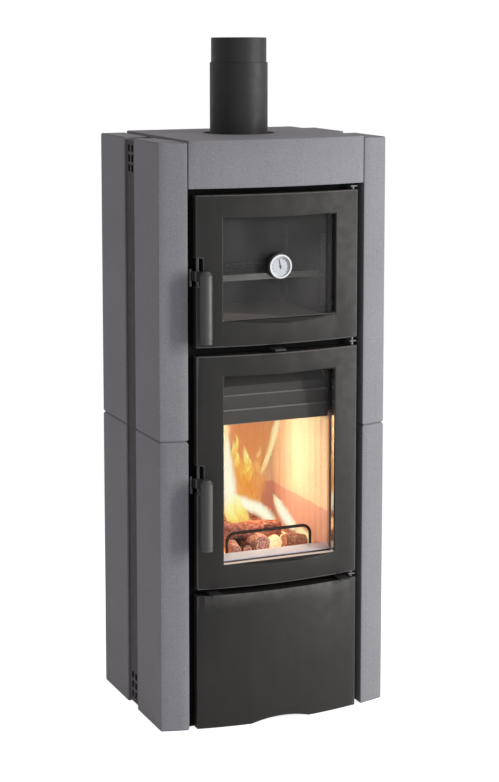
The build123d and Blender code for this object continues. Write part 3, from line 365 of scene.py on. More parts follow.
def bare_steel(name, colour, roughness=0.3, metallic=1.0):
    """Bare or plated steel with level brush lines and faint clouds."""
    look = Look(name)
    lines = look.noise(120.0, 3.0, 0.6, 0.0, look.stretched(z=60.0))
    cloud = look.noise(18.0, 3.0)
    tone = look.mix(look.span(lines, 0.3, 0.7), tuple(c * 0.86 for c in colour), colour)
    tone = look.mix(look.span(cloud, 0.55, 0.75, 0.0, 0.5), tone,
                    tuple(c * 0.7 for c in colour))
    rough = look.span(lines, 0.3, 0.7, roughness - 0.07, roughness + 0.09)
    return look.surface(look.principled(
        Base_Color=tone, Roughness=rough, Metallic=metallic,
        Normal=look.bump(lines, 0.00003, 0.5)))


def fire_clay(name, colour, shadow_tone=None):
    """Cream vermiculite board: mica flakes, soft clouds, soot; given a shadow tone, a painted
    shadow low down and painted shade at the front top.
    """
    look = Look(name)
    flakes = look.cells(260.0)
    cloud = look.noise(12.0, 4.0, 0.6)
    tone = look.mix(look.span(cloud, 0.3, 0.7), tuple(c * 0.9 for c in colour), colour)
    spot = look.add("SeparateColor", None, {0: flakes.outputs["Color"]}).outputs[0]
    tone = look.mix(look.span(spot, 0.7, 0.95, 0.0, 0.35), tone, (0.62, 0.42, 0.2))
    soot = look.math("MULTIPLY", look.span(look.noise(7.0, 5.0, 0.65), 0.50, 0.78), 0.3)
    tone = look.mix(soot, tone, (0.34, 0.22, 0.14))
    if shadow_tone:
        # A painted shadow below a wavy line.
        x, y, z = look.axes()
        line = look.math("ADD", SHADOW_LINE, look.math("MULTIPLY", look.math(
            "SUBTRACT", cloud, 0.5), 0.012))
        low = look.span(look.math("SUBTRACT", z, line), -0.0025, 0.0025, 1.0, 0.0)
        tone = look.mix(low, tone, shadow_tone)
        # Painted shade on the linings' front tops.
        front_top_shade = look.math("MULTIPLY", look.span(z, *SHADE_Z), look.span(y, *SHADE_Y))
        tone = look.mix(front_top_shade, tone, (0.035, 0.032, 0.030))
    fine = look.noise(500.0, 2.0)
    return look.surface(look.principled(
        Base_Color=tone, Roughness=look.span(fine, 0.3, 0.7, 0.82, 0.95),
        Specular_IOR_Level=0.2, Normal=look.bump(fine, 0.0003, 0.6)))


def iron(name, colour):
    """Bare cast iron: sand-cast grain, soot, a little rust."""
    look = Look(name)
    grain = look.noise(350.0, 4.0, 0.6)
    rust = look.noise(30.0, 4.0, 0.65)
    tone = look.mix(look.span(grain, 0.35, 0.65), tuple(c * 0.7 for c in colour), colour)
    tone = look.mix(look.span(rust, 0.55, 0.72, 0.0, 0.5), tone, (0.12, 0.055, 0.03))
    return look.surface(look.principled(
        Base_Color=tone, Roughness=look.span(grain, 0.3, 0.7, 0.55, 0.8), Metallic=0.3,
        Normal=look.bump(grain, 0.0003, 0.6)))


def rope(name, colour):
    """Braided glass rope: two crossing sets of strands."""
    look = Look(name)
    x, y, z = look.axes()
    along = look.math("ADD", x, z)
    across = look.math("SUBTRACT", x, z)
    first = look.math("SINE", look.math("MULTIPLY", look.math("ADD", along, y), 1900.0))
    second = look.math("SINE", look.math("MULTIPLY", look.math("SUBTRACT", across, y), 1900.0))
    weave = look.span(look.math("MAXIMUM", first, second), -0.4, 1.0)
    fibre = look.noise(1500.0, 2.0)
    tone = look.mix(weave, tuple(c * 0.35 for c in colour), colour)
    tone = look.mix(look.span(fibre, 0.4, 0.8, 0.0, 0.4), tone,
                    tuple(min(1.0, c * 1.8) for c in colour))
    return look.surface(look.principled(
        Base_Color=tone, Roughness=look.span(fibre, 0.3, 0.7, 0.85, 1.0),
        Specular_IOR_Level=0.2, Normal=look.bump(weave, 0.0008, 0.8)))


def pane(name, tint, haze, veil):
    """Thin flat glass with a faint film, which mirrors a little and doesn't bend rays."""
    look = Look(name)
    smear = look.noise(16.0, 4.0, 0.6)
    rough = look.span(smear, 0.45, 0.8, 0.0, haze)
    through = look.add("BsdfTransparent", None, {"Color": [c ** 0.5 for c in tint]}).outputs[0]
    mirror = look.add("BsdfGlossy", None, {"Roughness": rough}).outputs[0]
    outer = look.math("SUBTRACT", 1.0, look.add("NewGeometry").outputs["Backfacing"])
    gloss = look.add("Fresnel", None, {"IOR": PANE_IOR}).outputs[0]
    gloss = look.math("MULTIPLY", gloss, outer)
    glass = look.add("MixShader", None, {0: gloss, 1: through, 2: mirror}).outputs[0]
    film = look.add("BsdfDiffuse", None, {"Color": (0.75, 0.74, 0.73)}).outputs[0]
    patch = look.span(look.noise(7.0, 2.0), 0.35, 0.65, veil * 0.7, veil * 1.3)
    glass = look.add("MixShader", None, {0: patch, 1: glass, 2: film}).outputs[0]
    clear = look.add("BsdfTransparent", None, {"Color": tint}).outputs[0]
    shadow = look.add("LightPath").outputs["Is Shadow Ray"]
    mixed = look.add("MixShader", None, {0: shadow, 1: glass, 2: clear}).outputs[0]
    return look.surface(mixed)


GAUGE_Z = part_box("thermometer_dial")[0].lerp(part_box("thermometer_dial")[1], 0.5).z
STONE = (0.240, 0.243, 0.262)
DOOR = (0.0170, 0.0161, 0.0149)
# Tone of the fire's light painted on the front plate.
FIRELIGHT_TONE = (0.52, 0.34, 0.27)
BARE_STEEL = (0.78, 0.77, 0.75)
# Tone of the painted light strips.
PAINTED_LIGHT_TONE = (0.62, 0.62, 0.62)
# Tone of the highlight painted on rounded edges.
EDGE_HIGHLIGHT = (0.095, 0.090, 0.086)
OVEN_ENAMEL = (0.055, 0.053, 0.052)


def window_of(glass):
    """The window opening in front of a glass: lowest and highest z, half its width."""
    low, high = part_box(glass)
    return low.z + GLASS_LAP, high.z - GLASS_LAP, high.x - GLASS_LAP


OVEN_WINDOW = window_of("oven_glass")
FIRE_WINDOW = window_of("fire_glass")
looks = {
    "stone": cast_stone("cast_stone", STONE),
    "fire_clay": fire_clay("fire_clay_board", (0.74, 0.63, 0.50), (0.62, 0.38, 0.33)),
    "oven_glass": pane("oven_door_glass", (0.88, 0.88, 0.87), 0.03, 0.031),
    "fire_glass": pane("fire_door_glass", (0.98, 0.98, 0.97), 0.02, 0.010),
    "rope_seal": rope("rope_seal_braid", (0.09, 0.09, 0.09)),
    # The doors' and levers' rounded edges get a painted highlight.
    "door_paint": painted("door_paint_satin", DOOR, 0.58, 0.2, edge_highlight=EDGE_HIGHLIGHT),
    "grip_steel": painted("grip_satin", (0.056, 0.056, 0.054), 0.5, 0.35, mottle=0.06),
    "lever_steel": painted("lever_paint", (0.022, 0.022, 0.022), 0.5, 0.3, edge_highlight=EDGE_HIGHLIGHT),
    "flue_paint": painted("flue_paint_satin", (0.026, 0.025, 0.025), 0.52, 0.16, grain=600.0),
    "raw_iron": iron("raw_iron_sooty", (0.05, 0.045, 0.04)),
    "bright_steel": bare_steel("bright_steel_brushed", (0.60, 0.60, 0.59), 0.3),
    "gauge_metal": gauge_case("gauge_chrome"),
    "dial_white": gauge_dial("dial_enamel"),
    "needle_black": painted("needle_black_paint", (0.012, 0.012, 0.012), 0.4),
    "vent_steel": painted("vent_strip_paint", (0.036, 0.032, 0.033), 0.65, 0.2),
    "galvanised": painted("rear_cover_powder", (0.065, 0.065, 0.065), 0.6, grain=450.0,
                          grain_depth=0.0001),
    "oven_steel": painted("oven_enamel", OVEN_ENAMEL, 0.65, 0.15, wear=0.15),
    "body_steel": painted("body_paint_matt", (0.006, 0.006, 0.006), 0.7, 0.15, wear=0.05),
}
slot_of = {row["node"]: row["material_slot"] for row in frame["record"]["subparts"]}
own_look = {
    "sill_strip": bare_steel("sill_polished", (0.62, 0.68, 0.84), 0.35, metallic=0.25),
    # The deflector's step edges get a bright painted highlight.
    "air_deflector": painted("deflector_steel", (0.041, 0.0385, 0.0365), 0.65, 0.14,
                             mottle=0.05, grain_depth=0.000008,
                             edge_highlight=(0.42, 0.40, 0.39), no_highlight=above_steps),
    # The door frames get a painted highlight on the land below the window.
    "oven_door_frame": painted("oven_door_satin", DOOR, 0.58, 0.2, edge_highlight=EDGE_HIGHLIGHT,
                               no_highlight=window_zone(*OVEN_WINDOW),
                               painted_light=painted_land_highlight(OVEN_WINDOW[0], OVEN_WINDOW[2], 0.3)),
    "fire_door_frame": painted("fire_door_satin", DOOR, 0.58, 0.2, edge_highlight=EDGE_HIGHLIGHT,
                               no_highlight=window_zone(*FIRE_WINDOW),
                               bare=bare_reveal(*FIRE_WINDOW),
                               painted_light=painted_land_highlight(FIRE_WINDOW[0], FIRE_WINDOW[2], 1.0)),
    # The oven's walls by the door get painted light.
    "oven_box": painted("oven_enamel_box", OVEN_ENAMEL, 0.8, 0.1, wear=0.15,
                        grain_depth=0.000008, painted_light=oven_mouth_light),
    # The front plate gets painted fire light around the fire.
    "front_fascia": painted("front_plate_matt", (0.004, 0.004, 0.004), 0.7, 0.05, wear=0.02,
                            painted_firelight=mouth_firelight),
    "oven_floor_slab": fire_clay("oven_slab", (0.34, 0.31, 0.29)),
    "door_hinges": bare_steel("hinge_steel", (0.14, 0.14, 0.14), 0.5, metallic=0.2),
    "latch_strikers": bare_steel("striker_steel", (0.05, 0.05, 0.05), 0.5, metallic=0.2),
    "oven_rack": bare_steel("rack_enamel", (0.12, 0.12, 0.115), 0.5, metallic=0.2),
    "rack_runners": bare_steel("runner_steel", (0.34, 0.34, 0.33), 0.4, metallic=0.6),
    "log_retainer": painted("retainer_sooty", (0.018, 0.010, 0.008), 0.75, 0.1),
}
for name, piece in nodes.items():
    piece.data.materials.clear()
    piece.data.materials.append(own_look.get(name) or looks[slot_of[name]])


# ---------------------------------------------------------------- softened edges

SHARP = math.radians(30.0)


def soften(name, width, segments=2, dissolve=True):
    """Rounds the sharp edges of a CAD node, as paint and casting do."""
    piece = nodes[name]
    weld = piece.modifiers.new("weld", "WELD")
    weld.merge_threshold = 0.00001
    if dissolve:
        flat = piece.modifiers.new("flat_faces", "DECIMATE")
        flat.decimate_type = "DISSOLVE"
        flat.angle_limit = math.radians(0.2)
    edge = piece.modifiers.new("soft_edges", "BEVEL")
    edge.width = width
    edge.segments = segments
    edge.limit_method = "ANGLE"
    edge.angle_limit = SHARP
    edge.harden_normals = True
    edge.use_clamp_overlap = False


for side in ("left", "right"):
    for level in ("lower", "upper"):
        soften(f"front_pillar_{side}_{level}", 0.0025)
        soften(f"rear_stone_{side}_{level}", 0.0025)
soften("front_lintel", 0.0015)
soften("top_plate", 0.002)
soften("base_door_panel", 0.0012)
soften("oven_door_frame", 0.004, segments=3, dissolve=False)
soften("fire_door_frame", 0.004, segments=3, dissolve=False)
soften("air_deflector", 0.001)


# ---------------------------------------------------------------- fire

noise.seed_set(1)   # noise_vector, which sways the flames, starts from the clock without it


def fire_piece(name, build, *materials):
    """The finished mesh as a smooth piece that rides on the stove's body."""
    bmesh.ops.recalc_face_normals(build, faces=build.faces)
    mesh = bpy.data.meshes.new(name)
    build.to_mesh(mesh)
    build.free()
    for material in materials:
        mesh.materials.append(material)
    for face in mesh.polygons:
        face.use_smooth = True
    piece = bpy.data.objects.new(name, mesh)
    scene.collection.objects.link(piece)
    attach(piece, "root")


def along_line(points, share):
    """A point on a Catmull-Rom line through the points."""
    last = len(points) - 1
    where = min(max(share, 0.0), 1.0) * last
    index = min(int(where), last - 1)
    t = where - index
    p0 = points[max(index - 1, 0)]
    p1, p2 = points[index], points[index + 1]
    p3 = points[min(index + 2, last)]
    return [0.5 * (2 * b + (c - a) * t + (2 * a - 5 * b + 4 * c - d) * t * t
                   + (3 * b - a - 3 * c + d) * t ** 3)
            for a, b, c, d in zip(p0, p1, p2, p3)]


def tongue(name, line, look, rings=28, around=16, flatness=0.35, sway=8.0, seed=0.0):
    """A flame: a flattened, closed tube through (x, y, z, half width) points in mm."""
    build = bmesh.new()
    uv = build.loops.layers.uv.new("flame")
    rows = []
    depth = Vector((0, 1, 0))
    for ring in range(rings + 1):
        share = ring / rings
        *centre, half = along_line(line, share)
        ahead = Vector(along_line(line, min(share + 0.02, 1.0))[:3])
        behind = Vector(along_line(line, max(share - 0.02, 0.0))[:3])
        across = (ahead - behind).cross(depth).normalized()
        drift = noise.noise_vector(Vector((seed, share * 3.1, seed * 0.7)))
        middle = Vector(centre) + (across * drift.x + depth * drift.y) * sway * share
        row = []
        for step in range(around):
            angle = 2 * math.pi * step / around
            ripple = 1 + 0.16 * noise.noise(Vector((math.cos(angle) + seed,
                                                    math.sin(angle), share * 6.0)))
            offset = across * math.cos(angle) + depth * flatness * math.sin(angle)
            row.append(build.verts.new((middle + offset * half * ripple) / 1000))
        rows.append(row)

    def paint(face, corners):
        for loop, corner in zip(face.loops, corners):
            loop[uv].uv = corner

    def side(step):
        return 0.5 + 0.5 * math.cos(2 * math.pi * step / around)

    for ring in range(rings):
        low, high = ring / rings, (ring + 1) / rings
        for step in range(around):
            after = (step + 1) % around
            face = build.faces.new((rows[ring][step], rows[ring][after],
                                    rows[ring + 1][after], rows[ring + 1][step]))
            paint(face, ((side(step), low), (side(step + 1), low),
                         (side(step + 1), high), (side(step), high)))
    for row, v in ((list(reversed(rows[0])), 0.0), (rows[-1], 1.0)):
        paint(build.faces.new(row), [(0.5, v)] * around)
    fire_piece(name, build, look)


def flame_look(name, stops, density=1.0, streak=1.0, fade=0.6, soft=0.7):
    """Glowing gas: colour by height along the flame, fading out at its sides and tip."""
    look = Look(name)
    uv = look.add("UVMap", {"uv_map": "flame"}).outputs[0]
    split = look.add("SeparateXYZ", None, {0: uv})
    u, v = split.outputs[0], split.outputs[1]
    licks = look.noise(30.0, 4.0, 0.6, 1.2, look.stretched(1.0, 1.0, 0.34))
    fine = look.noise(90.0, 3.0, 0.55, 0.8, look.stretched(1.0, 1.0, 0.25))
    heat = look.math("ADD", v, look.math("MULTIPLY", look.math("SUBTRACT", licks, 0.5), 1.3))
    colour = look.ramp(heat, stops)
    middle = look.math("SUBTRACT", 1.0, look.math("ABSOLUTE", look.math(
        "MULTIPLY", look.math("SUBTRACT", u, 0.5), 2.0)))
    edge = look.span(look.math("ADD", middle, look.math(
        "MULTIPLY", look.math("SUBTRACT", fine, 0.5), 0.5)), 0.04, soft, smooth=True)
    tip = look.span(look.math("ADD", v, look.math(
        "MULTIPLY", look.math("SUBTRACT", licks, 0.5), 0.4)), fade, 1.0, 1.0, 0.0, smooth=True)
    root = look.span(v, 0.0, 0.10, smooth=True)
    alpha = look.math("MULTIPLY", look.math("MULTIPLY", edge, tip), root)
    veil = look.span(look.math("ADD", look.math("MULTIPLY", licks, 0.5),
                               look.math("MULTIPLY", fine, 0.5)),
                     0.40, 0.60, 1.0 - streak, 1.0)
    alpha = look.math("MULTIPLY", look.math("MULTIPLY", alpha, veil), density, clamp=True)
    glow = look.add("Emission", None, {"Color": colour, "Strength": 1.0}).outputs[0]
    clear = look.add("BsdfTransparent").outputs[0]
    return look.surface(look.add("MixShader", None, {0: alpha, 1: clear, 2: glow}).outputs[0])


gases = {
    "haze": flame_look("flame_haze", (
        (0.0, (0.72, 0.24, 0.10)), (0.5, (0.68, 0.22, 0.08)), (1.0, (0.56, 0.20, 0.08))),
        0.66, 0.4, 0.75, 0.5),
    "amber": flame_look("flame_amber", (
        (0.0, (0.92, 0.42, 0.12)), (0.4, (0.80, 0.30, 0.09)), (0.75, (0.66, 0.24, 0.08)),
        (1.0, (0.56, 0.20, 0.08))), 0.66, 0.6, 0.7, 0.3),
    "gold": flame_look("flame_gold", (
        (0.0, (0.96, 0.60, 0.16)), (0.3, (0.80, 0.26, 0.04)), (0.5, (0.92, 0.46, 0.08)),
        (0.72, (0.97, 0.74, 0.16)), (0.95, (0.99, 0.88, 0.34))), 0.95, 0.75, 0.85, 0.5),
    "copper": flame_look("flame_copper", (
        (0.0, (0.93, 0.50, 0.14)), (0.35, (0.80, 0.28, 0.07)), (0.6, (0.86, 0.38, 0.10)),
        (0.9, (0.94, 0.60, 0.20))), 0.85, 0.75, 0.8, 0.55),
    "yellow": flame_look("flame_yellow", (
        (0.0, (0.88, 0.38, 0.12)), (0.3, (0.97, 0.62, 0.15)), (0.6, (0.98, 0.86, 0.22)),
        (0.9, (1.0, 0.95, 0.50))), 0.95, 0.2, 0.7, 0.4),
    "hot": flame_look("flame_hot", (
        (0.0, (0.95, 0.60, 0.25)), (0.3, (0.97, 0.78, 0.36)), (0.7, (0.96, 0.80, 0.42)),
        (1.0, (0.90, 0.60, 0.30))), 0.95, 0.1, 0.75, 0.6),
    "white": flame_look("flame_white", (
        (0.0, (1.0, 0.93, 0.52)), (0.3, (1.0, 0.99, 0.80)), (0.7, (1.0, 0.97, 0.68)),
        (1.0, (0.96, 0.78, 0.40))), 1.0, 0.15, 0.75, 0.95),
}
flames = (
    ("rear_haze", "haze", 0.30, 4.0, 1.3,
     ((52, 100, 430, 56), (55, 100, 524, 62), (58, 100, 648, 62), (60, 100, 760, 56),
      (66, 100, 827, 26))),
    ("rear_sheet", "amber", 0.30, 5.0, 2.7,
     ((30, 40, 461, 27), (27, 40, 522, 39), (33, 40, 583, 51), (45, 40, 637, 63),
      (54, 40, 692, 73), (60, 40, 741, 76), (69, 40, 796, 58), (78, 40, 845, 21))),
    ("rear_streak", "hot", 0.8, 3.0, 8.8,
     ((67, 20, 579, 2), (82, 20, 605, 7), (94, 20, 634, 8), (106, 20, 669, 9),
      (115, 20, 704, 10), (124, 20, 742, 9), (130, 20, 778, 3))),
    ("lobe_left", "gold", 0.50, 8.0, 4.1,
     ((-22, -50, 505, 20), (-27, -50, 556, 24), (-18, -50, 606, 22), (-26, -50, 644, 15),
      (-38, -50, 676, 9), (-40, -50, 712, 2))),
    ("lobe_middle", "gold", 0.40, 9.0, 6.3,
     ((2, -46, 500, 24), (8, -46, 545, 25), (0, -46, 590, 24), (8, -46, 628, 17),
      (2, -46, 656, 10), (-10, -46, 690, 2))),
    ("lobe_right", "copper", 0.40, 8.0, 9.9,
     ((36, -36, 496, 22), (33, -36, 540, 23), (42, -36, 580, 20), (36, -36, 620, 14),
      (44, -36, 656, 8), (52, -36, 690, 2))),
    ("wisp", "gold", 0.50, 4.0, 15.5,
     ((-44, -58, 600, 5), (-50, -58, 634, 9), (-40, -58, 668, 8), (-30, -58, 700, 5),
      (-34, -58, 728, 1))),
    ("left_high", "white", 0.50, 4.0, 10.4,
     ((-51, -84, 504, 32), (-63, -84, 560, 28), (-66, -84, 614, 24), (-69, -84, 663, 19),
      (-72, -84, 712, 13), (-77, -84, 780, 5))),
    ("front_base", "yellow", 0.45, 4.0, 12.2,
     ((-46, -100, 460, 35), (-46, -100, 495, 38), (-52, -100, 522, 35),
      (-61, -100, 553, 26), (-70, -100, 586, 9))),
    ("front_sweep", "white", 0.60, 3.0, 5.9,
     ((-70, -95, 563, 12), (-47, -95, 553, 21), (-15, -95, 538, 23), (14, -95, 524, 24),
      (38, -95, 505, 23), (56, -95, 484, 20), (71, -95, 461, 11))),
    ("right_short", "white", 0.60, 3.0, 7.3,
     ((124, -95, 454, 14), (109, -95, 475, 18), (94, -95, 499, 19), (79, -95, 522, 16),
      (68, -95, 542, 11), (59, -95, 562, 3))),
    ("right_low", "hot", 0.50, 2.0, 14.0,
     ((142, -142, 424, 16), (134, -142, 444, 18), (118, -142, 462, 14),
      (98, -142, 476, 4))),
)
for title, gas, flatness, sway, seed, line in flames:
    tongue("flame_" + title, line, gases[gas], flatness=flatness, sway=sway, seed=seed)


def log_look(name, bark, glow, core=0.0, ash=0.5):
    """Burning wood: bark ridges, ash on top, embers in the cracks; core is all ember."""
    look = Look(name)
    uv = look.add("UVMap", {"uv_map": "wood"}).outputs[0]
    ridges = look.noise(9.0, 5.0, 0.65, 1.2,
                        look.add("Mapping", None, {"Vector": uv, "Scale": (2.4, 1.0, 1.0)})
                        .outputs[0])
    fine = look.noise(140.0, 4.0, 0.6)
    patch = look.noise(22.0, 3.0, 0.55)
    tone = look.mix(look.span(ridges, 0.43, 0.56), tuple(c * 0.16 for c in bark), bark)
    tone = look.mix(look.span(fine, 0.48, 0.66, 0.0, ash), tone, (0.86, 0.70, 0.62))
    cracks = look.span(ridges, 0.5, 0.40, 0.0, 1.0)
    heat = look.math("MULTIPLY", cracks, look.span(patch, 0.42, 0.62))
    heat = look.math("MAXIMUM", heat, core)
    ember = look.ramp(heat, ((0.0, (0.0, 0.0, 0.0)), (0.4, (0.75, 0.10, 0.02)),
                             (0.75, (1.0, 0.38, 0.08)), (1.0, (1.0, 0.75, 0.4))))
    return look.surface(look.principled(
        Base_Color=tone, Roughness=look.span(fine, 0.3, 0.7, 0.8, 0.95),
        Specular_IOR_Level=0.2, Emission_Color=ember, Emission_Strength=glow,
        Normal=look.bump(ridges, 0.003, 0.9)))


def end_look(name, colour, glow):
    """Sawn log end: growth rings, drying cracks, glowing rim."""
    look = Look(name)
    uv = look.add("UVMap", {"uv_map": "wood"}).outputs[0]
    split = look.add("SeparateXYZ", None, {0: uv})
    wobble = look.noise(55.0, 4.0, 0.6, 0.8)
    radius = look.math("ADD", split.outputs[0], look.math("MULTIPLY", wobble, 1.5))
    rings = look.span(look.math("SINE", look.math("MULTIPLY", radius, 19.0)), -0.6, 0.7)
    tone = look.mix(rings, tuple(c * 0.35 for c in colour), colour)
    grain = look.noise(420.0, 3.0)
    tone = look.mix(look.span(grain, 0.5, 0.7, 0.0, 0.6), tone, (0.16, 0.05, 0.035))
    rim = look.span(split.outputs[0], 0.82, 0.98)
    heat = look.math("MULTIPLY", rim, look.span(look.noise(45.0, 3.0), 0.4, 0.6))
    return look.surface(look.principled(
        Base_Color=tone, Roughness=look.span(grain, 0.3, 0.7, 0.8, 0.95),
        Specular_IOR_Level=0.2, Emission_Strength=glow,
        Emission_Color=look.mix(heat, (0.0, 0.0, 0.0), (1.0, 0.35, 0.1)),
        Normal=look.bump(rings, 0.0006, 0.7)))


def log(name, start, end, radius, bark, cut, seed, rings=30, around=36):
    """A split log from start to end in mm, with an uneven outline and rough ends."""
    build = bmesh.new()
    uv = build.loops.layers.uv.new("wood")
    start, end = Vector(start), Vector(end)
    axis = (end - start).normalized()
    side = axis.cross(Vector((0, 0, 1))).normalized()
    up = side.cross(axis)
    rows = []
    for ring in range(rings + 1):
        share = ring / rings
        centre = start.lerp(end, share) + side * 4 * noise.noise(Vector((seed, share * 2, 0)))
        taper = 1 - 0.10 * abs(2 * share - 1) ** 6
        row = []
        for step in range(around):
            angle = 2 * math.pi * step / around
            ring_point = Vector((math.cos(angle), math.sin(angle), seed))
            size = radius * taper * (
                1 + 0.14 * noise.noise(ring_point * 0.9)
                + 0.07 * noise.noise(Vector((ring_point.x * 3, ring_point.y * 3,
                                             seed + share * 5)))
                + 0.03 * noise.noise(Vector((ring_point.x * 9, ring_point.y * 9,
                                             seed + share * 8))))
            point = centre + (side * math.cos(angle) + up * math.sin(angle)) * size
            row.append(build.verts.new(point / 1000))
        rows.append(row)
    for ring in range(rings):
        for step in range(around):
            after = (step + 1) % around
            face = build.faces.new((rows[ring][step], rows[ring][after],
                                    rows[ring + 1][after], rows[ring + 1][step]))
            corners = ((step, ring), (step + 1, ring), (step + 1, ring + 1), (step, ring + 1))
            for loop, (u, v) in zip(face.loops, corners):
                loop[uv].uv = (u / around, v / rings * (end - start).length / 200)
    inset_count = 5
    for row, outward in ((rows[0], -axis), (rows[-1], axis)):
        middle = Vector((0, 0, 0))
        for vert in row:
            middle += vert.co / around
        outer = row
        for inset in range(1, inset_count + 1):
            share = 1 - inset / inset_count
            if share > 0:
                inner = []
                for vert in row:
                    point = middle.lerp(vert.co, share)
                    point += outward * 0.0015 * (1 + noise.noise(point * 160))
                    inner.append(build.verts.new(point))
            else:
                inner = [build.verts.new(middle + outward * 0.0018)] * around
            for step in range(around):
                after = (step + 1) % around
                corners = [outer[step], outer[after], inner[after], inner[step]]
                if share == 0:
                    corners.pop()
                if outward is not axis:
                    corners.reverse()
                face = build.faces.new(corners)
                face.material_index = 1
                for loop in face.loops:
                    far = (loop.vert.co - middle).length / max(radius / 1000, 1e-6)
                    loop[uv].uv = (min(far, 1.0), 0.0)
            outer = inner
    fire_piece(name, build, bark, cut)


burning = log_look("log_burning", (0.42, 0.13, 0.08), 0.5, ash=0.25)
birch = log_look("log_bark", (0.66, 0.34, 0.26), 0.4)
glowing = log_look("log_glowing", (0.98, 0.86, 0.70), 0.9, 0.85)
char = log_look("log_char", (0.025, 0.010, 0.008), 0.25, ash=0.0)
brown = log_look("log_brown", (0.46, 0.21, 0.13), 0.3, ash=0.3)
sawn = end_look("log_end_grain", (0.74, 0.38, 0.30), 0.8)
logs = (
    ("left", (-80, -168, 436), (-58, -30, 442), 17, birch, 1.0),
    ("centre", (-4, -166, 445), (-18, 20, 446), 26, birch, 2.0),
    ("char", (-46, -164, 434), (-38, -40, 438), 15, char, 7.0),
    ("ember", (42, -152, 440), (50, -40, 442), 20, glowing, 2.6),
    ("right", (64, -152, 441), (128, -146, 434), 21, brown, 3.0),
    ("across", (-112, -96, 476), (66, -118, 470), 26, burning, 4.0),
    ("behind", (-90, 10, 470), (100, 22, 466), 30, burning, 5.0),
)
for title, start, end, radius, bark, seed in logs:
    log("log_" + title, start, end, radius, bark, glowing if bark is glowing else sawn, seed)


def ember_look(name):
    """Ash and glowing charcoal."""
    look = Look(name)
    lumps = look.cells(75.0)
    fine = look.noise(160.0, 4.0, 0.6)
    patch = look.noise(16.0, 3.0)
    colour = look.mix(look.span(fine, 0.35, 0.65), (0.16, 0.10, 0.09), (0.66, 0.50, 0.44))
    crack = look.span(lumps.outputs["Distance"], 0.35, 0.65)
    heat = look.math("MULTIPLY", crack, look.span(patch, 0.38, 0.6))
    ember = look.ramp(heat, ((0.0, (0.0, 0.0, 0.0)), (0.35, (0.8, 0.12, 0.02)),
                             (0.7, (1.0, 0.45, 0.1)), (1.0, (1.0, 0.85, 0.5))))
    return look.surface(look.principled(
        Base_Color=colour, Roughness=look.span(fine, 0.3, 0.7, 0.85, 1.0),
        Specular_IOR_Level=0.15, Emission_Color=ember, Emission_Strength=1.2,
        Normal=look.bump(lumps.outputs["Distance"], 0.003, 0.8)))


def ember_bed(name, half_x, y_front, y_back, floor, height, look, cells=44):
    """A closed low heap of embers and ash on the bricks, in mm."""
    build = bmesh.new()
    top, under = [], []
    for j in range(cells + 1):
        row, low = [], []
        for i in range(cells + 1):
            u, v = 2 * i / cells - 1, 2 * j / cells - 1
            x = half_x * u
            y = y_front + (y_back - y_front) * (v + 1) / 2
            heap = max(0.0, (1 - u ** 4) * (1 - v ** 4))
            lumps = 0.55 + 0.45 * noise.noise(Vector((x / 26, y / 26, 3.0)))
            lumps += 0.35 * noise.noise(Vector((x / 9, y / 9, 7.0)))
            z = floor + 0.6 + height * heap * max(lumps, 0.08)
            row.append(build.verts.new((x / 1000, y / 1000, z / 1000)))
            low.append(build.verts.new((x / 1000, y / 1000, (floor + 0.2) / 1000)))
        top.append(row)
        under.append(low)
    for j in range(cells):
        for i in range(cells):
            build.faces.new((top[j][i], top[j][i + 1], top[j + 1][i + 1], top[j + 1][i]))
            build.faces.new((under[j][i], under[j + 1][i], under[j + 1][i + 1],
                             under[j][i + 1]))
    rim = ([(0, i) for i in range(cells)] + [(j, cells) for j in range(cells)]
           + [(cells, i) for i in range(cells, 0, -1)] + [(j, 0) for j in range(cells, 0, -1)])
    for (a, b), (c, d) in zip(rim, rim[1:] + rim[:1]):
        build.faces.new((top[a][b], under[a][b], under[c][d], top[c][d]))
    fire_piece(name, build, look)


ember_bed("ember_bed", 150, -186, 110, 415, 22, ember_look("embers"))


# ---------------------------------------------------------------- floor, light, camera

PAPER = (0.75, 0.75, 0.75)      # the floor's own tone where it takes the shadow
PAPER_GLOW = 0.86               # what is added there so that it shows nearly white
FAR_GLOW = 0.35                 # light from the far floor on the object
FLOOR_FADE = (0.9, 2.2)         # from the near to the far floor
WHITE = (1.0, 1.0, 1.0)
SKY_LIGHT = (0.430, 0.382, 0.388)


def floor_look():
    """Pale paper that takes the shadow near the stove and is plain white further out."""
    look = Look("studio_floor")
    x, y, z = look.axes()
    far = look.math("SQRT", look.math("ADD", look.math("MULTIPLY", x, x),
                                      look.math("MULTIPLY", y, y)))
    path = look.add("LightPath")
    seen = look.math("MAXIMUM", path.outputs["Is Camera Ray"], look.math(
        "MAXIMUM", path.outputs["Is Glossy Ray"], path.outputs["Is Transmission Ray"]))
    paper = look.add("BsdfDiffuse", None, {"Color": PAPER}).outputs[0]
    fill = look.add("Emission", None, {
        "Color": WHITE, "Strength": look.math("MULTIPLY", seen, PAPER_GLOW)}).outputs[0]
    near = look.add("AddShader", None, {0: paper, 1: fill}).outputs[0]
    lit = look.add("Emission", None, {
        "Color": WHITE, "Strength": look.span(seen, 0.0, 1.0, FAR_GLOW, 1.0)}).outputs[0]
    fade = look.span(far, *FLOOR_FADE, smooth=True)
    return look.surface(look.add("MixShader", None, {0: fade, 1: near, 2: lit}).outputs[0])


bpy.ops.mesh.primitive_circle_add(vertices=96, radius=60.0, fill_type="NGON",
                                  location=(0.0, 0.0, 0.0))
floor = bpy.context.object
floor.name = "studio_floor"
floor.data.materials.append(floor_look())


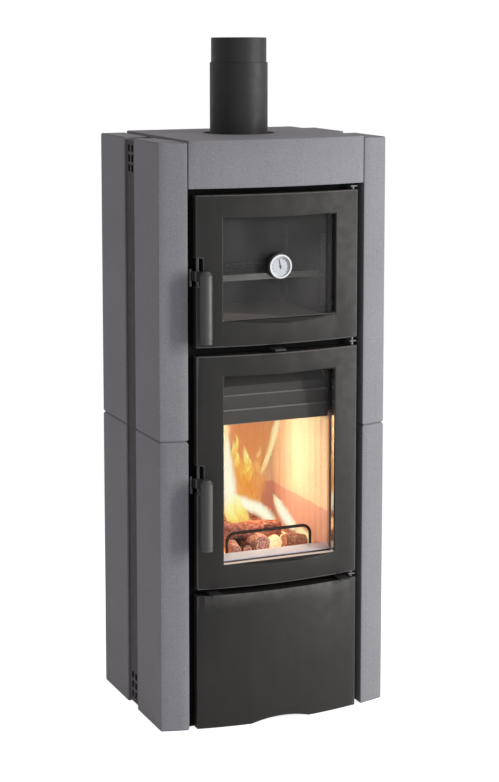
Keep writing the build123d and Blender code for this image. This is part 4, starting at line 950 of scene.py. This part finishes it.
def studio_world():
    """White where it's seen, mirrored or looked through to; soft grey light elsewhere."""
    world = bpy.data.worlds.new("studio")
    world.use_nodes = True
    tree = world.node_tree
    tree.nodes.clear()
    path, first, second, tint, background, output = (
        tree.nodes.new("ShaderNode" + kind) for kind in
        ("LightPath", "Math", "Math", "Mix", "Background", "OutputWorld"))
    first.operation = second.operation = "MAXIMUM"
    tint.data_type = "RGBA"
    tint.inputs[6].default_value = (*SKY_LIGHT, 1.0)
    tint.inputs[7].default_value = (*WHITE, 1.0)
    for source, target in (
            (path.outputs["Is Camera Ray"], first.inputs[0]),
            (path.outputs["Is Glossy Ray"], first.inputs[1]),
            (first.outputs[0], second.inputs[0]),
            (path.outputs["Is Transmission Ray"], second.inputs[1]),
            (second.outputs[0], tint.inputs[0]),
            (tint.outputs[2], background.inputs["Color"]),
            (background.outputs[0], output.inputs["Surface"])):
        tree.links.new(source, target)
    return world


scene.world = studio_world()


def softbox(name, place, aim, size, power, colour=WHITE, diffuse=True):
    """A flat lamp; with diffuse off it only adds sheen."""
    light = bpy.data.lights.new(name, "AREA")
    light.shape = "RECTANGLE"
    light.size, light.size_y = size
    light.energy = power
    light.color = colour
    lamp = bpy.data.objects.new(name, light)
    scene.collection.objects.link(lamp)
    lamp.location = place
    lamp.rotation_euler = (Vector(aim) - Vector(place)).to_track_quat("-Z", "Y").to_euler()
    lamp.visible_diffuse = diffuse
    lamp.visible_transmission = False


def fire_lamp(name, place, power, radius, colour):
    """The fire's light, with no lamp to be seen."""
    light = bpy.data.lights.new(name, "POINT")
    light.energy = power
    light.color = colour
    light.shadow_soft_size = radius
    lamp = bpy.data.objects.new(name, light)
    scene.collection.objects.link(lamp)
    lamp.location = place
    lamp.visible_camera = False
    lamp.visible_glossy = False
    lamp.visible_transmission = False


DAYLIGHT = (1.0, 0.99, 0.97)
softbox("key", (3.0, -3.1, 1.9), (0.0, -0.15, 0.8), (0.4, 2.4), 139.0, DAYLIGHT)
softbox("key_low", (3.0, -3.3, 0.75), (0.0, -0.15, 0.4), (1.6, 1.3), 30.0, DAYLIGHT)
softbox("sheen", (4.2, -2.3, 0.7), (0.0, -0.2, 0.5), (2.0, 1.3), 160.0, diffuse=False)
softbox("front_fill", (-0.6, -5.2, 1.3), (0.0, 0.0, 0.8), (2.4, 1.8), 20.0, (0.6, 0.8, 1.0))
fire_lamp("fire_high", (-0.050, 0.000, 0.665), 2.75, 0.05, (1.0, 0.83, 0.58))
fire_lamp("fire_low", (0.010, -0.130, 0.560), 0.6, 0.03, (1.0, 0.68, 0.42))

# Fitted to the photograph: its shift is kept small and made up for with a tilt.
CAMERA_TILT = 7.035
CAMERA_TURN = 23.418
camera_data = bpy.data.cameras.new("camera")
camera_data.sensor_width = 36.0
camera_data.lens = 88.399
camera_data.shift_y = -0.18
camera = bpy.data.objects.new("camera", camera_data)
scene.collection.objects.link(camera)
camera.location = (-2.0061, -4.7039, 1.8438)
camera.rotation_euler = (math.radians(90 - CAMERA_TILT), 0.0, -math.radians(CAMERA_TURN))
scene.camera = camera

scene.view_settings.view_transform = "Standard"
